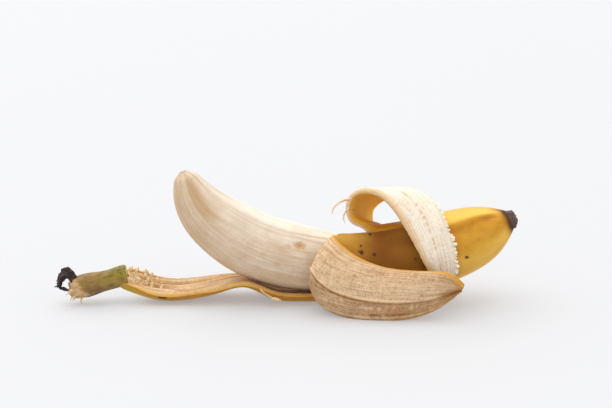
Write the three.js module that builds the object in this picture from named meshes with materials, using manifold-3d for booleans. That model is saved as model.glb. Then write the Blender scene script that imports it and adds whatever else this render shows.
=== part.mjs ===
// A half-peeled banana lying on a table.
//
// Two pieces: the soft pulp, and the peel. The peel is one skin: a closed
// sleeve round the blossom half of the fruit that splits along three lines into
// three strips. One strip falls forward and folds back beside the sleeve, one
// curls over the top of the sleeve, and one lies on the table under the pulp
// and still carries the short stem.
//
// Millimetres, +Z up, +X along the fruit towards the blossom end, the front of
// the fruit towards -Y. The origin is the centre of the base.

import * as THREE from "three";
import { mergeVertices } from "three/addons/utils/BufferGeometryUtils.js";
import Module from "manifold-3d";

// ---------------------------------------------------------------- dimensions

const PEEL_THICKNESS = 2.8;      // skin, yellow side to pale side
const EDGE_THINNING = 0.35;      // share of the skin lost along a torn edge
const PULP_CLEARANCE = 0.45;     // between the pulp and the inside of the sleeve
const FRUIT_PLANE_Y = 4.81;      // the bent axis of the fruit lies in this plane
const PULP_START = 7.0;          // distance of the pulp's hidden end from the blossom end
const PULP_ROUNDING = 9.0;       // length over which that end is rounded
const PULP_END = 184.7;          // distance of the free tip from the blossom end
const RIDGE_HEIGHT = 0.5;        // the blunt edges along the skin
const SLIT_START_GAP = 0.1;      // half width of a split where it opens
const SLIT_MAX_GAP = 0.25;
const STRIP_END = 60;            // rows of the sleeve up to here, rows of a strip beyond
const HALF_ARC = 18.5;           // nominal half width of a strip

const COLUMNS = 12;              // quads across one strip
const STRIP_ROWS = 24;           // rows along one free strip
const PULP_COLUMNS = 32;
const STEM_COLUMNS = 20;

// Blunt ridges round the skin: direction in degrees and relative height.
const RIDGES = [[60, 1.0], [150, 0.8], [215, 0.7], [282, 0.9], [345, 0.6]];
const RIDGE_WIDTH = 0.24;

// Split lines: direction round the fruit (0 is the front, 90 the top) and the
// distance from the blossom end at which the split starts.
const SPLIT_TOP = { angle: 71, start: 44 };
const SPLIT_FRONT = { angle: -50, start: 50 };
const SPLIT_BACK = { angle: 190, start: 40 };

// Axis of the fruit: distance from the blossom end, x, z.
const AXIS = [
  [0, 110.23, 41.2], [12.8, 98.73, 35.3], [31.1, 81.83, 28.5], [57.3, 56.33, 21.1],
  [75.1, 38.73, 18.7], [90.3, 23.53, 18.8], [104.3, 9.73, 21.1], [126.4, -11.77, 26.5],
  [149.2, -31.77, 37.3], [162.1, -41.67, 45.9], [173.8, -48.07, 55.6], [184.4, -52.27, 65.8],
];
// Outer radius of the skin, and radius of the bare pulp.
const SKIN_RADIUS = [
  [0, 5.2], [5, 9.2], [12.8, 13.5], [21.6, 16.0], [31.1, 17.3], [41.7, 18.0],
  [57.3, 18.8], [75.1, 19.1], [95, 19.1], [110, 19.0],
];
const PULP_RADIUS = [
  [90.3, 15.2], [104.3, 16.2], [115.9, 16.9], [126.4, 17.0], [137.5, 16.7], [149.2, 15.6],
  [162.1, 13.3], [170, 11.2], [176, 9.0], [180, 7.0], [183, 4.6], [184.6, 1.8],
];

// Each strip is a bent sheet. It follows the skin of the fruit up to where it
// is torn free, and from there it hangs on three guide lines: its two edges and
// its middle. A station is the distance along the skin and then x, y, z.
const FRONT = {
  from: SPLIT_TOP, to: SPLIT_FRONT, length: 176, free: [[78, 92], [78, 90]],
  root: [[60, 70, 80], [60, 70, 80], [60, 70, 80]],
  edge1: [[92, 23.56, -4.39, 35.55], [98, 24.62, -8.39, 33.59], [106, 30.06, -12.69, 29.51],
    [118, 39.15, -16.5, 25.08], [130, 49.22, -19.69, 22.55], [143, 60.54, -22.11, 21.76],
    [156, 71.95, -23.69, 22.14], [167, 80.35, -24.69, 21.36],
    [176, 85.54, -25.69, 17.06]],
  middle: [[92, 13.58, -17.19, 23.19], [98, 13.31, -21.69, 22.5], [106, 16.69, -24.69, 20.36],
    [130, 40.32, -29.19, 15.43], [156, 66.85, -29.69, 14.83],
    [167, 76.74, -27.19, 14.55], [176, 85.06, -26.19, 15.25]],
  edge2: [[92, 14.88, -11.69, 10.21], [98, 15.83, -17.19, 5.65], [106, 20.71, -21.19, 2.41],
    [117, 29.44, -25.49, 0.3], [143, 55.11, -29.39, 0.3], [167, 76.75, -26.19, 7.62],
    [176, 84.13, -26.19, 13.98]],
};
const CURLED = {
  from: SPLIT_TOP, to: SPLIT_BACK, length: 171, free: [[66, 80], [46, 60]],
  root: [[48, 58, 66], [46, 54], [38, 46]],
  edge1: [[76, 38.29, -1.19, 39.2], [84, 32.03, -1.69, 42.16], [97, 30.95, -1.69, 53.67],
    [118, 46.74, -7.19, 55.27], [126, 51.76, -10.69, 50.34], [142, 59.48, -15.19, 38.38],
    [158, 66.68, -17.19, 24.72], [171, 72.42, -15.69, 14.03]],
  middle: [[60, 53.81, 15.81, 33.62], [68, 46.67, 16.11, 35.12], [76, 41.54, 15.81, 36.52],
    [84, 36.38, 14.81, 39.41], [97, 36.78, 14.31, 49.74], [104, 42.75, 12.81, 53.49],
    [118, 55.36, 5.31, 55.81], [134, 65.81, -3.19, 49.46], [158, 74.79, -15.69, 28.87],
    [171, 77.06, -15.69, 15.57]],
  edge2: [[60, 55.55, 24.81, 22.09], [68, 49.97, 27.81, 25.02], [84, 43.29, 31.51, 33.18],
    [90, 42.99, 31.81, 37.94], [97, 44.98, 30.81, 42.22], [118, 61.13, 15.81, 53.29],
    [126, 66.75, 9.81, 53.18], [134, 71.81, 3.81, 51.29], [142, 75.73, -3.69, 46.26],
    [150, 78.77, -9.69, 39.94], [158, 81.62, -12.99, 31.16], [171, 82.34, -14.19, 17.17]],
};
const LYING = {
  from: SPLIT_FRONT, to: { angle: SPLIT_BACK.angle - 360, start: SPLIT_BACK.start },
  length: 200, free: [[82, 95], [66, 84]],
  root: [[62, 72, 82], [62, 72, 82], [58, 66]],
  edge1: [[95, 18.43, -7.7, 6.3], [120, -5.97, -7.69, 7], [135, -20.97, -7.69, 11.6],
    [149, -34.87, -7, 8.8], [160, -46.37, -6.8, 6.9], [183, -69.47, -6.2, 7],
    [192, -78.17, -4.19, 10.2], [200, -84.77, -3.19, 11.6]],
  middle: [[95, 18.63, 5.81, 1.3], [108, 5.93, 4.81, 1.3], [120, -6.77, 4.6, 2.2],
    [135, -21.87, 4.8, 8.2], [149, -36.07, 5.6, 5.2], [166, -53.2, 5.8, 1.5],
    [183, -70.37, 3.2, 3.6], [192, -78.77, -0.19, 7.3], [200, -85.27, -0.19, 9.4]],
  edge2: [[78, 35.9, 22, 14.7], [108, 5.83, 20.51, 6.3], [135, -23.07, 18.81, 8.6],
    [174, -62.57, 15.81, 7.8], [184, -72.2, 12.2, 11.2], [192, -79.57, 7.81, 14.4],
    [200, -85.57, 3.81, 13.6]],
};

// Stem with its snapped end (first) and its torn end (last): x, y, z, radius.
const STEM = [
  [-80.93, 0.81, 13.8, 5.3], [-84.18, 0.51, 13.1, 5.25], [-88.65, -0.19, 11.9, 5.05],
  [-92.61, -0.79, 11.0, 5.1], [-96.56, -1.49, 10.17, 5.5], [-100.51, -2.19, 9.34, 5.9],
  [-104.44, -2.99, 8.54, 5.7], [-107.37, -3.59, 8.2, 4.7], [-109.31, -3.99, 8.22, 3.2],
];
// Dried scrap of skin that curls up from the torn end of the stem.
const SCRAP = [
  [-106.8, -3.2, 11.0, 1.9], [-108.6, -3.5, 14.2, 1.9], [-110.6, -3.9, 16.3, 1.8],
  [-112.6, -4.3, 15.4, 1.6], [-114.0, -4.7, 12.6, 1.4], [-115.2, -5.0, 10.2, 1.0],
];
// Dried flower rest on the blossom end: distance along the axis, radius.
const BLOSSOM = [[2.5, 4.4], [0.0, 5.0], [-2.0, 4.8], [-4.0, 4.2], [-4.9, 2.8]];

// ------------------------------------------------------------------ functions

const rad = (deg) => (deg * Math.PI) / 180;
const clamp01 = (t) => Math.min(1, Math.max(0, t));
const smooth = (a, b, t) => { const u = clamp01((t - a) / (b - a)); return u * u * (3 - 2 * u); };

// Natural cubic spline through rows [key, value, value, ...].
function spline(rows) {
  const x = rows.map((r) => r[0]);
  const n = x.length;
  const dims = rows[0].length - 1;
  const second = [];
  for (let d = 0; d < dims; d++) {
    const y = rows.map((r) => r[d + 1]);
    const m = new Array(n).fill(0);
    const c = new Array(n).fill(0);
    const g = new Array(n).fill(0);
    for (let i = 1; i < n - 1; i++) {
      const h0 = x[i] - x[i - 1];
      const h1 = x[i + 1] - x[i];
      const rhs = 6 * ((y[i + 1] - y[i]) / h1 - (y[i] - y[i - 1]) / h0);
      const p = 2 * (h0 + h1) - h0 * c[i - 1];
      c[i] = h1 / p;
      g[i] = (rhs - h0 * g[i - 1]) / p;
    }
    for (let i = n - 2; i > 0; i--) m[i] = g[i] - c[i] * m[i + 1];
    second.push(m);
  }
  return (t) => {
    let k = 0;
    while (k < n - 2 && t >= x[k + 1]) k++;
    const h = x[k + 1] - x[k];
    const a = x[k + 1] - t;
    const b = t - x[k];
    return second.map((m, d) => {
      const y0 = rows[k][d + 1];
      const y1 = rows[k + 1][d + 1];
      return (m[k] * a ** 3 + m[k + 1] * b ** 3) / (6 * h)
        + (y0 / h - (m[k] * h) / 6) * a + (y1 / h - (m[k + 1] * h) / 6) * b;
    });
  };
}

const axisSpline = spline(AXIS);
const skinSpline = spline(SKIN_RADIUS);
const pulpSpline = spline(PULP_RADIUS);
const axisStart = axisSpline(0);
const axisSlope = axisSpline(0.1).map((v, i) => (v - axisStart[i]) / 0.1);
const axisPoint = (s) => (s < 0
  ? axisStart.map((v, i) => v + s * axisSlope[i])
  : axisSpline(s));

// Point of the axis and the upward normal of the axis in the plane of the fruit.
function axisFrame(s) {
  const [cx, cz] = axisPoint(s);
  const a = axisPoint(s - 0.05);
  const b = axisPoint(s + 0.05);
  const len = Math.hypot(b[0] - a[0], b[1] - a[1]);
  const tx = (b[0] - a[0]) / len;
  const tz = (b[1] - a[1]) / len;
  return { cx, cz, nx: tz, nz: -tx };
}

function ridge(theta) {
  let r = 0;
  for (const [deg, height] of RIDGES) {
    let d = (theta - rad(deg) + Math.PI) % (2 * Math.PI);
    if (d < 0) d += 2 * Math.PI;
    r += height * Math.exp(-(((d - Math.PI) / RIDGE_WIDTH) ** 2));
  }
  return r;
}

// Point round the axis: theta 0 is the front, 90 degrees the top.
function around(s, theta, r) {
  const f = axisFrame(s);
  return new THREE.Vector3(
    f.cx + f.nx * r * Math.sin(theta),
    FRUIT_PLANE_Y - r * Math.cos(theta),
    f.cz + f.nz * r * Math.sin(theta),
  );
}

const skinRadius = (s) => skinSpline(s)[0];
const skinMiddle = (s, theta) => skinRadius(s) - PEEL_THICKNESS / 2
  + RIDGE_HEIGHT * smooth(2, 25, s) * (ridge(theta) - 0.4);
const skinPoint = (s, theta) => around(s, theta, skinMiddle(s, theta));

function pulpRadius(s, theta) {
  const slope = (skinRadius(s + 0.2) - skinRadius(s - 0.2)) / 0.4;
  const inSleeve = skinRadius(s) - PEEL_THICKNESS * Math.sqrt(1 + slope * slope) - PULP_CLEARANCE;
  const bare = pulpSpline(Math.max(s, PULP_RADIUS[0][0]))[0];
  const k = smooth(76, 94, s);
  let r = inSleeve * (1 - k) + bare * k;
  r *= Math.sqrt(1 - (1 - clamp01((s - PULP_START) / PULP_ROUNDING)) ** 2.2);
  return r + RIDGE_HEIGHT * smooth(8, 25, s) * (1 - smooth(160, 184, s)) * (ridge(theta) - 0.4);
}

// A strip as a function of the distance s along the skin and w across it (-1..1).
function makeStrip(def) {
  const t0 = rad(def.from.angle);
  const t1 = rad(def.to.angle);
  const guides = [def.edge1, def.middle, def.edge2].map((stations, k) => {
    const theta = [t0, (t0 + t1) / 2, t1][k];
    const roots = def.root[k].map((s) => [s, ...skinPoint(s, theta).toArray()]);
    return spline([...roots, ...stations]);
  });
  const arc = rad(60);
  const point = (s, w) => {
    const theta = t0 + ((t1 - t0) * (w + 1)) / 2;
    const skin = skinPoint(s, theta);
    const u = (w + 1) / 2;
    const a = def.free[0][0] * (1 - u) + def.free[1][0] * u;
    const b = def.free[0][1] * (1 - u) + def.free[1][1] * u;
    const k = smooth(a, b, s);
    if (k === 0) return skin;
    const [p, q, r] = guides.map((g) => new THREE.Vector3(...g(s)));
    const mid = p.clone().add(r).multiplyScalar(0.5);
    const half = r.clone().sub(p).multiplyScalar(0.5);
    const free = mid.clone()
      .addScaledVector(half, Math.sin(arc * w) / Math.sin(arc))
      .addScaledVector(q.clone().sub(mid), (Math.cos(arc * w) - Math.cos(arc)) / (1 - Math.cos(arc)));
    return skin.lerp(free, k);
  };
  const turn = Math.sign(t1 - t0);
  const normal = (s, w) => {
    const ds = point(s + 0.4, w).sub(point(Math.max(s - 0.4, 0), w));
    const dw = point(s, w + 0.02).sub(point(s, w - 0.02));
    return dw.cross(ds).normalize().multiplyScalar(turn);
  };
  return { def, t0, t1, point, normal };
}

// ------------------------------------------------------------------ the peel

function peelGeometry() {
  const positions = [];
  const triangles = [];
  const addVertex = (v) => { positions.push(v.x, v.y, v.z); return positions.length / 3 - 1; };
  const quad = (a, b, c, d) => { triangles.push(a, b, c, a, c, d); };
  const strips = [FRONT, CURLED, LYING].map(makeStrip);
  const sleeveRows = [0, 1.5, 4, 8, 13, 19, 26, 33, SPLIT_BACK.start, SPLIT_TOP.start,
    SPLIT_FRONT.start, 55, STRIP_END];
  const shared = new Map();

  const sheetVertex = (strip, s, w, side) => {
    const n = strip.normal(s, w);
    let thickness = PEEL_THICKNESS;
    const edge = w < 0 ? strip.def.from : strip.def.to;
    thickness *= 1 - EDGE_THINNING * Math.abs(w) ** 8 * smooth(edge.start, edge.start + 8, s);
    const v = strip.point(s, w).addScaledVector(n, (side * thickness) / 2);
    v.z = Math.max(v.z, 0);
    return v;
  };

  strips.forEach((strip) => {
    const { from, to, length } = strip.def;
    const rows = [...sleeveRows];
    for (let i = 1; i <= STRIP_ROWS; i++) rows.push(STRIP_END + ((length - STRIP_END) * i) / STRIP_ROWS);
    const gap = (edge, s) => (s <= edge.start ? 0
      : Math.min(SLIT_MAX_GAP, SLIT_START_GAP + 0.02 * (s - edge.start)) / HALF_ARC);
    const grid = { 1: [], "-1": [] };
    rows.forEach((s) => {
      for (const side of [1, -1]) {
        const line = [];
        for (let j = 0; j <= COLUMNS; j++) {
          const g0 = gap(from, s);
          const g1 = gap(to, s);
          const w = -1 + g0 + ((2 - g0 - g1) * j) / COLUMNS;
          const edge = j === 0 ? from : j === COLUMNS ? to : null;
          const joined = edge !== null && s <= edge.start;
          const key = joined ? `${edge.start}:${s}:${side}` : null;
          if (joined && shared.has(key)) line.push(shared.get(key));
          else {
            const id = addVertex(sheetVertex(strip, s, w, side));
            if (joined) shared.set(key, id);
            line.push(id);
          }
        }
        grid[side].push(line);
      }
    });
    const O = grid[1];
    const I = grid[-1];
    const flip = strip.t1 < strip.t0;
    const face = (a, b, c, d) => (flip ? quad(a, b, c, d) : quad(d, c, b, a));
    for (let i = 0; i + 1 < rows.length; i++) {
      for (let j = 0; j < COLUMNS; j++) {
        face(O[i][j], O[i + 1][j], O[i + 1][j + 1], O[i][j + 1]);
        face(I[i][j + 1], I[i + 1][j + 1], I[i + 1][j], I[i][j]);
      }
      if (rows[i] >= from.start) face(I[i][0], I[i + 1][0], O[i + 1][0], O[i][0]);
      if (rows[i] >= to.start) {
        face(O[i][COLUMNS], O[i + 1][COLUMNS], I[i + 1][COLUMNS], I[i][COLUMNS]);
      }
    }
    const last = rows.length - 1;
    for (let j = 0; j < COLUMNS; j++) {
      face(O[last][j], I[last][j], I[last][j + 1], O[last][j + 1]);
    }
    strip.firstOuter = O[0];
    strip.firstInner = I[0];
    strip.face = face;
    strip.flip = flip;
  });

  // Closed blossom end of the sleeve, outside and inside.
  const pole = (s) => { const f = axisFrame(s); return addVertex(new THREE.Vector3(f.cx, FRUIT_PLANE_Y, f.cz)); };
  const outerPole = pole(-0.9);
  const innerPole = pole(2.4);
  for (const strip of strips) {
    for (let j = 0; j < COLUMNS; j++) {
      const [a, b] = strip.flip ? [j, j + 1] : [j + 1, j];
      triangles.push(outerPole, strip.firstOuter[a], strip.firstOuter[b]);
      triangles.push(innerPole, strip.firstInner[b], strip.firstInner[a]);
    }
  }
  const geometry = new THREE.BufferGeometry();
  geometry.setAttribute("position", new THREE.Float32BufferAttribute(positions, 3));
  geometry.setIndex(triangles);
  return geometry;
}

// Closed solid through rings of points, with a point at each end.
function loft(rings, start, end) {
  const n = rings[0].length;
  const positions = [];
  const triangles = [];
  positions.push(...start.toArray());
  rings.forEach((ring) => ring.forEach((v) => positions.push(v.x, v.y, v.z)));
  positions.push(...end.toArray());
  const last = positions.length / 3 - 1;
  for (let j = 0; j < n; j++) {
    const k = (j + 1) % n;
    triangles.push(0, 1 + k, 1 + j);
    for (let i = 0; i + 1 < rings.length; i++) {
      const a = 1 + i * n;
      const b = a + n;
      triangles.push(a + j, a + k, b + k, a + j, b + k, b + j);
    }
    const a = 1 + (rings.length - 1) * n;
    triangles.push(a + j, a + k, last);
  }
  const geometry = new THREE.BufferGeometry();
  geometry.setAttribute("position", new THREE.Float32BufferAttribute(positions, 3));
  geometry.setIndex(triangles);
  return geometry;
}

// Round bar along a line of centres, with radii and an optional shape round it.
function bar(centres, radii, columns, lobes) {
  const rings = centres.map((c, i) => {
    const before = centres[Math.max(i - 1, 0)];
    const after = centres[Math.min(i + 1, centres.length - 1)];
    const t = after.clone().sub(before).normalize();
    const a = t.clone().cross(new THREE.Vector3(0, 1, 0)).normalize();
    const b = t.clone().cross(a);
    return Array.from({ length: columns }, (_, j) => {
      const phi = (2 * Math.PI * j) / columns;
      const r = radii[i] * (1 + lobes * Math.cos(5 * phi + 0.4));
      return c.clone().addScaledVector(a, r * Math.cos(phi)).addScaledVector(b, r * Math.sin(phi));
    });
  });
  return loft(rings, centres[0], centres[centres.length - 1]);
}

function stemGeometry() {
  return bar(STEM.map((r) => new THREE.Vector3(r[0], r[1], r[2])), STEM.map((r) => r[3]), STEM_COLUMNS, 0.045);
}
function scrapGeometry() {
  return bar(SCRAP.map((r) => new THREE.Vector3(r[0], r[1], r[2])), SCRAP.map((r) => r[3]), 8, 0);
}
function blossomGeometry() {
  const centres = BLOSSOM.map(([s]) => {
    const f = axisFrame(s);
    return new THREE.Vector3(f.cx, FRUIT_PLANE_Y, f.cz);
  });
  return bar(centres, BLOSSOM.map((r) => r[1]), 15, 0.06);
}

// ------------------------------------------------------------------ the pulp

function pulpGeometry() {
  const stations = [];
  for (let i = 1; i <= 4; i++) stations.push(PULP_START + PULP_ROUNDING * (1 - Math.cos((i * Math.PI) / 9)));
  for (let s = 16; s < 172; s += 6.5) stations.push(s);
  for (let i = 0; i < 6; i++) stations.push(PULP_END - 12 * (1 - Math.sin(rad(8 + i * 15))));
  stations.sort((a, b) => a - b);
  const rings = stations.map((s) => Array.from({ length: PULP_COLUMNS }, (_, j) => {
    const theta = (2 * Math.PI * j) / PULP_COLUMNS;
    return around(s, theta, pulpRadius(s, theta));
  }));
  const centre = (s) => around(s, 0, 0);
  return loft(rings, centre(PULP_START - 0.1), centre(PULP_END + 0.1));
}

// ------------------------------------------------------------------- solids

const wasm = await Module();
wasm.setup();

function toSolid(geometry) {
  const g = geometry.clone();
  g.deleteAttribute("normal");
  g.deleteAttribute("uv");
  const merged = mergeVertices(g, 1e-5);
  const solid = new wasm.Manifold(new wasm.Mesh({
    numProp: 3,
    vertProperties: Float32Array.from(merged.attributes.position.array),
    triVerts: Uint32Array.from(merged.index.array),
  }));
  return solid.volume() < 0 ? null : solid;
}

function toGeometry(solid, shift) {
  const mesh = solid.getMesh();
  const geometry = new THREE.BufferGeometry();
  geometry.setAttribute("position", new THREE.Float32BufferAttribute(mesh.vertProperties, mesh.numProp));
  geometry.setIndex(new THREE.BufferAttribute(Uint32Array.from(mesh.triVerts), 1));
  geometry.translate(...shift);
  geometry.computeVertexNormals();
  return geometry;
}

const peelSolid = [stemGeometry(), scrapGeometry(), blossomGeometry()]
  .reduce((solid, g) => solid.add(toSolid(g)), toSolid(peelGeometry()));
const pulpSolid = toSolid(pulpGeometry());

// Put the origin at the centre of the base.
const box = new THREE.Box3();
for (const solid of [peelSolid, pulpSolid]) {
  const b = solid.boundingBox();
  box.expandByPoint(new THREE.Vector3(...b.min));
  box.expandByPoint(new THREE.Vector3(...b.max));
}
const shift = [-(box.min.x + box.max.x) / 2, -(box.min.y + box.max.y) / 2, -box.min.z];

const peel = new THREE.Mesh(
  toGeometry(peelSolid, shift),
  new THREE.MeshStandardMaterial({ color: 0xe3b04a, roughness: 0.5, metalness: 0 }),
);
peel.name = "peel";

const flesh = new THREE.Mesh(
  toGeometry(pulpSolid, shift),
  new THREE.MeshStandardMaterial({ color: 0xf1e6cb, roughness: 0.6, metalness: 0 }),
);
flesh.name = "flesh";

const banana = new THREE.Group();
banana.add(peel, flesh);

export default banana;
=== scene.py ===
import math
import bpy
import numpy as np
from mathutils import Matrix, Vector


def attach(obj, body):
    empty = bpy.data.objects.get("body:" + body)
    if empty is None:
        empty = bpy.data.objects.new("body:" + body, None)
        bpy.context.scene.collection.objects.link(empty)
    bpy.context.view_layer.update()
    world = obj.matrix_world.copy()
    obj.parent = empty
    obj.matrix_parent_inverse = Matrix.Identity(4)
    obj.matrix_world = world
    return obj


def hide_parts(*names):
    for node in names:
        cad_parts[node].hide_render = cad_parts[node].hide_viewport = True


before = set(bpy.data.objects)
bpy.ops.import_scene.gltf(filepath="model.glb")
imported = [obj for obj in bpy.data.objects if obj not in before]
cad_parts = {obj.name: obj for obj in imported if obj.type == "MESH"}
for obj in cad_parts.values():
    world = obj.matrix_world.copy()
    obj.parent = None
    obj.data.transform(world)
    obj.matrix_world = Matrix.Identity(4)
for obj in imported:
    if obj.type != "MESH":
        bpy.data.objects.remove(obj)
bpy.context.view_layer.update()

SHIFT = np.array([0.0986, 0.3081, 0.0])
MM = 0.001

# ----------------------------------------------------------------- dimensions
PEEL_T = 2.8
EDGE_THIN = 0.35
PULP_GAP = 0.45
PLANE_Y = 4.81
PULP_START, PULP_ROUND, PULP_END = 7.0, 9.0, 184.7
RIDGE_H, RIDGE_W = 0.5, 0.24
RIDGES = [(60, 1.0), (150, 0.8), (215, 0.7), (282, 0.9), (345, 0.6)]
TOP = (71.0, 44.0)
FRONTSPLIT = (-50.0, 50.0)
BACK = (190.0, 40.0)
HALF_ARC = 18.5

AXIS = [[0, 110.23, 41.2], [12.8, 98.73, 35.3], [31.1, 81.83, 28.5], [57.3, 56.33, 21.1],
        [75.1, 38.73, 18.7], [90.3, 23.53, 18.8], [104.3, 9.73, 21.1], [126.4, -11.77, 26.5],
        [149.2, -31.77, 37.3], [162.1, -41.67, 45.9], [173.8, -48.07, 55.6], [184.4, -52.27, 65.8]]
SKIN_R = [[0, 5.2], [5, 9.2], [12.8, 13.5], [21.6, 16.0], [31.1, 17.3], [41.7, 18.0],
          [57.3, 18.8], [75.1, 19.1], [95, 19.1], [110, 19.0]]
PULP_R = [[90.3, 15.2], [104.3, 16.2], [115.9, 16.9], [126.4, 17.0], [137.5, 16.7], [149.2, 15.6],
          [162.1, 13.3], [170, 11.2], [176, 9.0], [180, 7.0], [183, 4.6], [184.6, 1.8]]
FRONT_DEF = dict(
    length=176, free=[[78, 92], [78, 90]], root=[[60, 70, 80], [60, 70, 80], [60, 70, 80]],
    edge1=[[92, 23.56, -4.39, 35.55], [98, 24.62, -8.39, 33.59], [106, 30.06, -12.69, 29.51],
           [118, 39.15, -16.5, 25.08], [130, 49.22, -19.69, 22.55], [143, 60.54, -22.11, 21.76],
           [156, 71.95, -23.69, 22.14], [167, 80.35, -24.69, 21.36], [176, 85.54, -25.69, 17.06]],
    middle=[[92, 13.58, -17.19, 23.19], [98, 13.31, -21.69, 22.5], [106, 16.69, -24.69, 20.36],
            [130, 40.32, -29.19, 15.43], [156, 66.85, -29.69, 14.83], [167, 76.74, -27.19, 14.55],
            [176, 85.06, -26.19, 15.25]],
    edge2=[[92, 14.88, -11.69, 10.21], [98, 15.83, -17.19, 5.65], [106, 20.71, -21.19, 2.41],
           [117, 29.44, -25.49, 0.3], [143, 55.11, -29.39, 0.3], [167, 76.75, -26.19, 7.62],
           [176, 84.13, -26.19, 13.98]])
CURLED_DEF = dict(
    length=171, free=[[66, 80], [46, 60]], root=[[48, 58, 66], [46, 54], [38, 46]],
    edge1=[[76, 38.29, -1.19, 39.2], [84, 32.03, -1.69, 42.16], [97, 30.95, -1.69, 53.67],
           [118, 46.74, -7.19, 55.27], [126, 51.76, -10.69, 50.34], [142, 59.48, -15.19, 38.38],
           [158, 66.68, -17.19, 24.72], [171, 72.42, -15.69, 14.03]],
    middle=[[60, 53.81, 15.81, 33.62], [68, 46.67, 16.11, 35.12], [76, 41.54, 15.81, 36.52],
            [84, 36.38, 14.81, 39.41], [97, 36.78, 14.31, 49.74], [104, 42.75, 12.81, 53.49],
            [118, 55.36, 5.31, 55.81], [134, 65.81, -3.19, 49.46], [158, 74.79, -15.69, 28.87],
            [171, 77.06, -15.69, 15.57]],
    edge2=[[60, 55.55, 24.81, 22.09], [68, 49.97, 27.81, 25.02], [84, 43.29, 31.51, 33.18],
           [90, 42.99, 31.81, 37.94], [97, 44.98, 30.81, 42.22], [118, 61.13, 15.81, 53.29],
           [126, 66.75, 9.81, 53.18], [134, 71.81, 3.81, 51.29], [142, 75.73, -3.69, 46.26],
           [150, 78.77, -9.69, 39.94], [158, 81.62, -12.99, 31.16], [171, 82.34, -14.19, 17.17]])
LYING_DEF = dict(
    length=200, free=[[82, 95], [66, 84]], root=[[62, 72, 82], [62, 72, 82], [58, 66]],
    edge1=[[95, 18.43, -7.7, 6.3], [120, -5.97, -7.69, 7], [135, -20.97, -7.69, 11.6],
           [149, -34.87, -7, 8.8], [160, -46.37, -6.8, 6.9], [183, -69.47, -6.2, 7],
           [192, -78.17, -4.19, 10.2], [200, -84.77, -3.19, 11.6]],
    middle=[[95, 18.63, 5.81, 1.3], [108, 5.93, 4.81, 1.3], [120, -6.77, 4.6, 2.2],
            [135, -21.87, 4.8, 8.2], [149, -36.07, 5.6, 5.2], [166, -53.2, 5.8, 1.5],
            [183, -70.37, 3.2, 3.6], [192, -78.77, -0.19, 7.3], [200, -85.27, -0.19, 9.4]],
    edge2=[[78, 35.9, 22, 14.7], [108, 5.83, 20.51, 6.3], [135, -23.07, 18.81, 8.6],
           [174, -62.57, 15.81, 7.8], [184, -72.2, 12.2, 11.2], [192, -79.57, 7.81, 14.4],
           [200, -85.57, 3.81, 13.6]])
STEM = [[-80.93, 0.81, 13.8, 5.3], [-84.18, 0.51, 13.1, 5.25], [-88.65, -0.19, 11.9, 5.05],
        [-92.61, -0.79, 11.0, 5.1], [-96.56, -1.49, 10.17, 5.5], [-100.51, -2.19, 9.34, 5.9],
        [-104.44, -2.99, 8.54, 5.7], [-107.37, -3.59, 8.2, 4.7], [-109.31, -3.99, 8.22, 3.2]]
SCRAP = [[-106.8, -3.2, 11.0, 1.9], [-108.6, -3.5, 14.2, 1.9], [-110.6, -3.9, 16.3, 1.8],
         [-112.6, -4.3, 15.4, 1.6], [-114.0, -4.7, 12.6, 1.4], [-115.2, -5.0, 10.2, 1.0]]


# ------------------------------------------------------------------ functions
def rad(d):
    return d * math.pi / 180


def smooth(a, b, t):
    u = np.clip((np.asarray(t, float) - a) / (b - a), 0, 1)
    return u * u * (3 - 2 * u)


def bell(x, width):
    return np.exp(-(x / width) ** 2)


def lerp(a, b, t):
    return a * (1 - t) + b * t


def spline(rows):
    """Natural cubic spline through rows [key, values...]."""
    rows = np.asarray(rows, float)
    x, y = rows[:, 0], rows[:, 1:]
    n = len(x)
    h = np.diff(x)
    a = np.zeros((n, n))
    r = np.zeros((n, y.shape[1]))
    a[0, 0] = a[-1, -1] = 1
    for i in range(1, n - 1):
        a[i, i - 1], a[i, i], a[i, i + 1] = h[i - 1], 2 * (h[i - 1] + h[i]), h[i]
        r[i] = 6 * ((y[i + 1] - y[i]) / h[i] - (y[i] - y[i - 1]) / h[i - 1])
    m = np.linalg.solve(a, r)

    def f(t):
        t = np.asarray(t, float)
        flat = t.ravel()
        k = np.clip(np.searchsorted(x, flat, side="right") - 1, 0, n - 2)
        p, q, hk = (x[k + 1] - flat)[:, None], (flat - x[k])[:, None], h[k][:, None]
        v = ((m[k] * p ** 3 + m[k + 1] * q ** 3) / (6 * hk)
             + (y[k] / hk - m[k] * hk / 6) * p + (y[k + 1] / hk - m[k + 1] * hk / 6) * q)
        return v.reshape(t.shape + (y.shape[1],))
    return f


def hashed(i, j, k, seed):
    n = (i * 374761393 + j * 668265263 + k * 2147483647 + seed * 1442695041) & 0xFFFFFFFF
    n = ((n ^ (n >> 13)) * 1274126177) & 0xFFFFFFFF
    n = ((n ^ (n >> 16)) * 2246822519) & 0xFFFFFFFF
    return ((n ^ (n >> 15)) & 0xFFFFFF) / float(0xFFFFFF)


def noise(x, y=0.0, z=0.0, seed=0):
    """Smooth value noise, 0 to 1."""
    x, y, z = np.broadcast_arrays(np.asarray(x, float), np.asarray(y, float), np.asarray(z, float))
    i, j, k = np.floor(x).astype(np.int64), np.floor(y).astype(np.int64), np.floor(z).astype(np.int64)
    u, v, w = x - i, y - j, z - k
    u, v, w = u * u * (3 - 2 * u), v * v * (3 - 2 * v), w * w * (3 - 2 * w)
    out = 0
    for a, wa in ((0, 1 - u), (1, u)):
        for b, wb in ((0, 1 - v), (1, v)):
            for c, wc in ((0, 1 - w), (1, w)):
                out = out + hashed(i + a, j + b, k + c, seed) * wa * wb * wc
    return out


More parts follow.
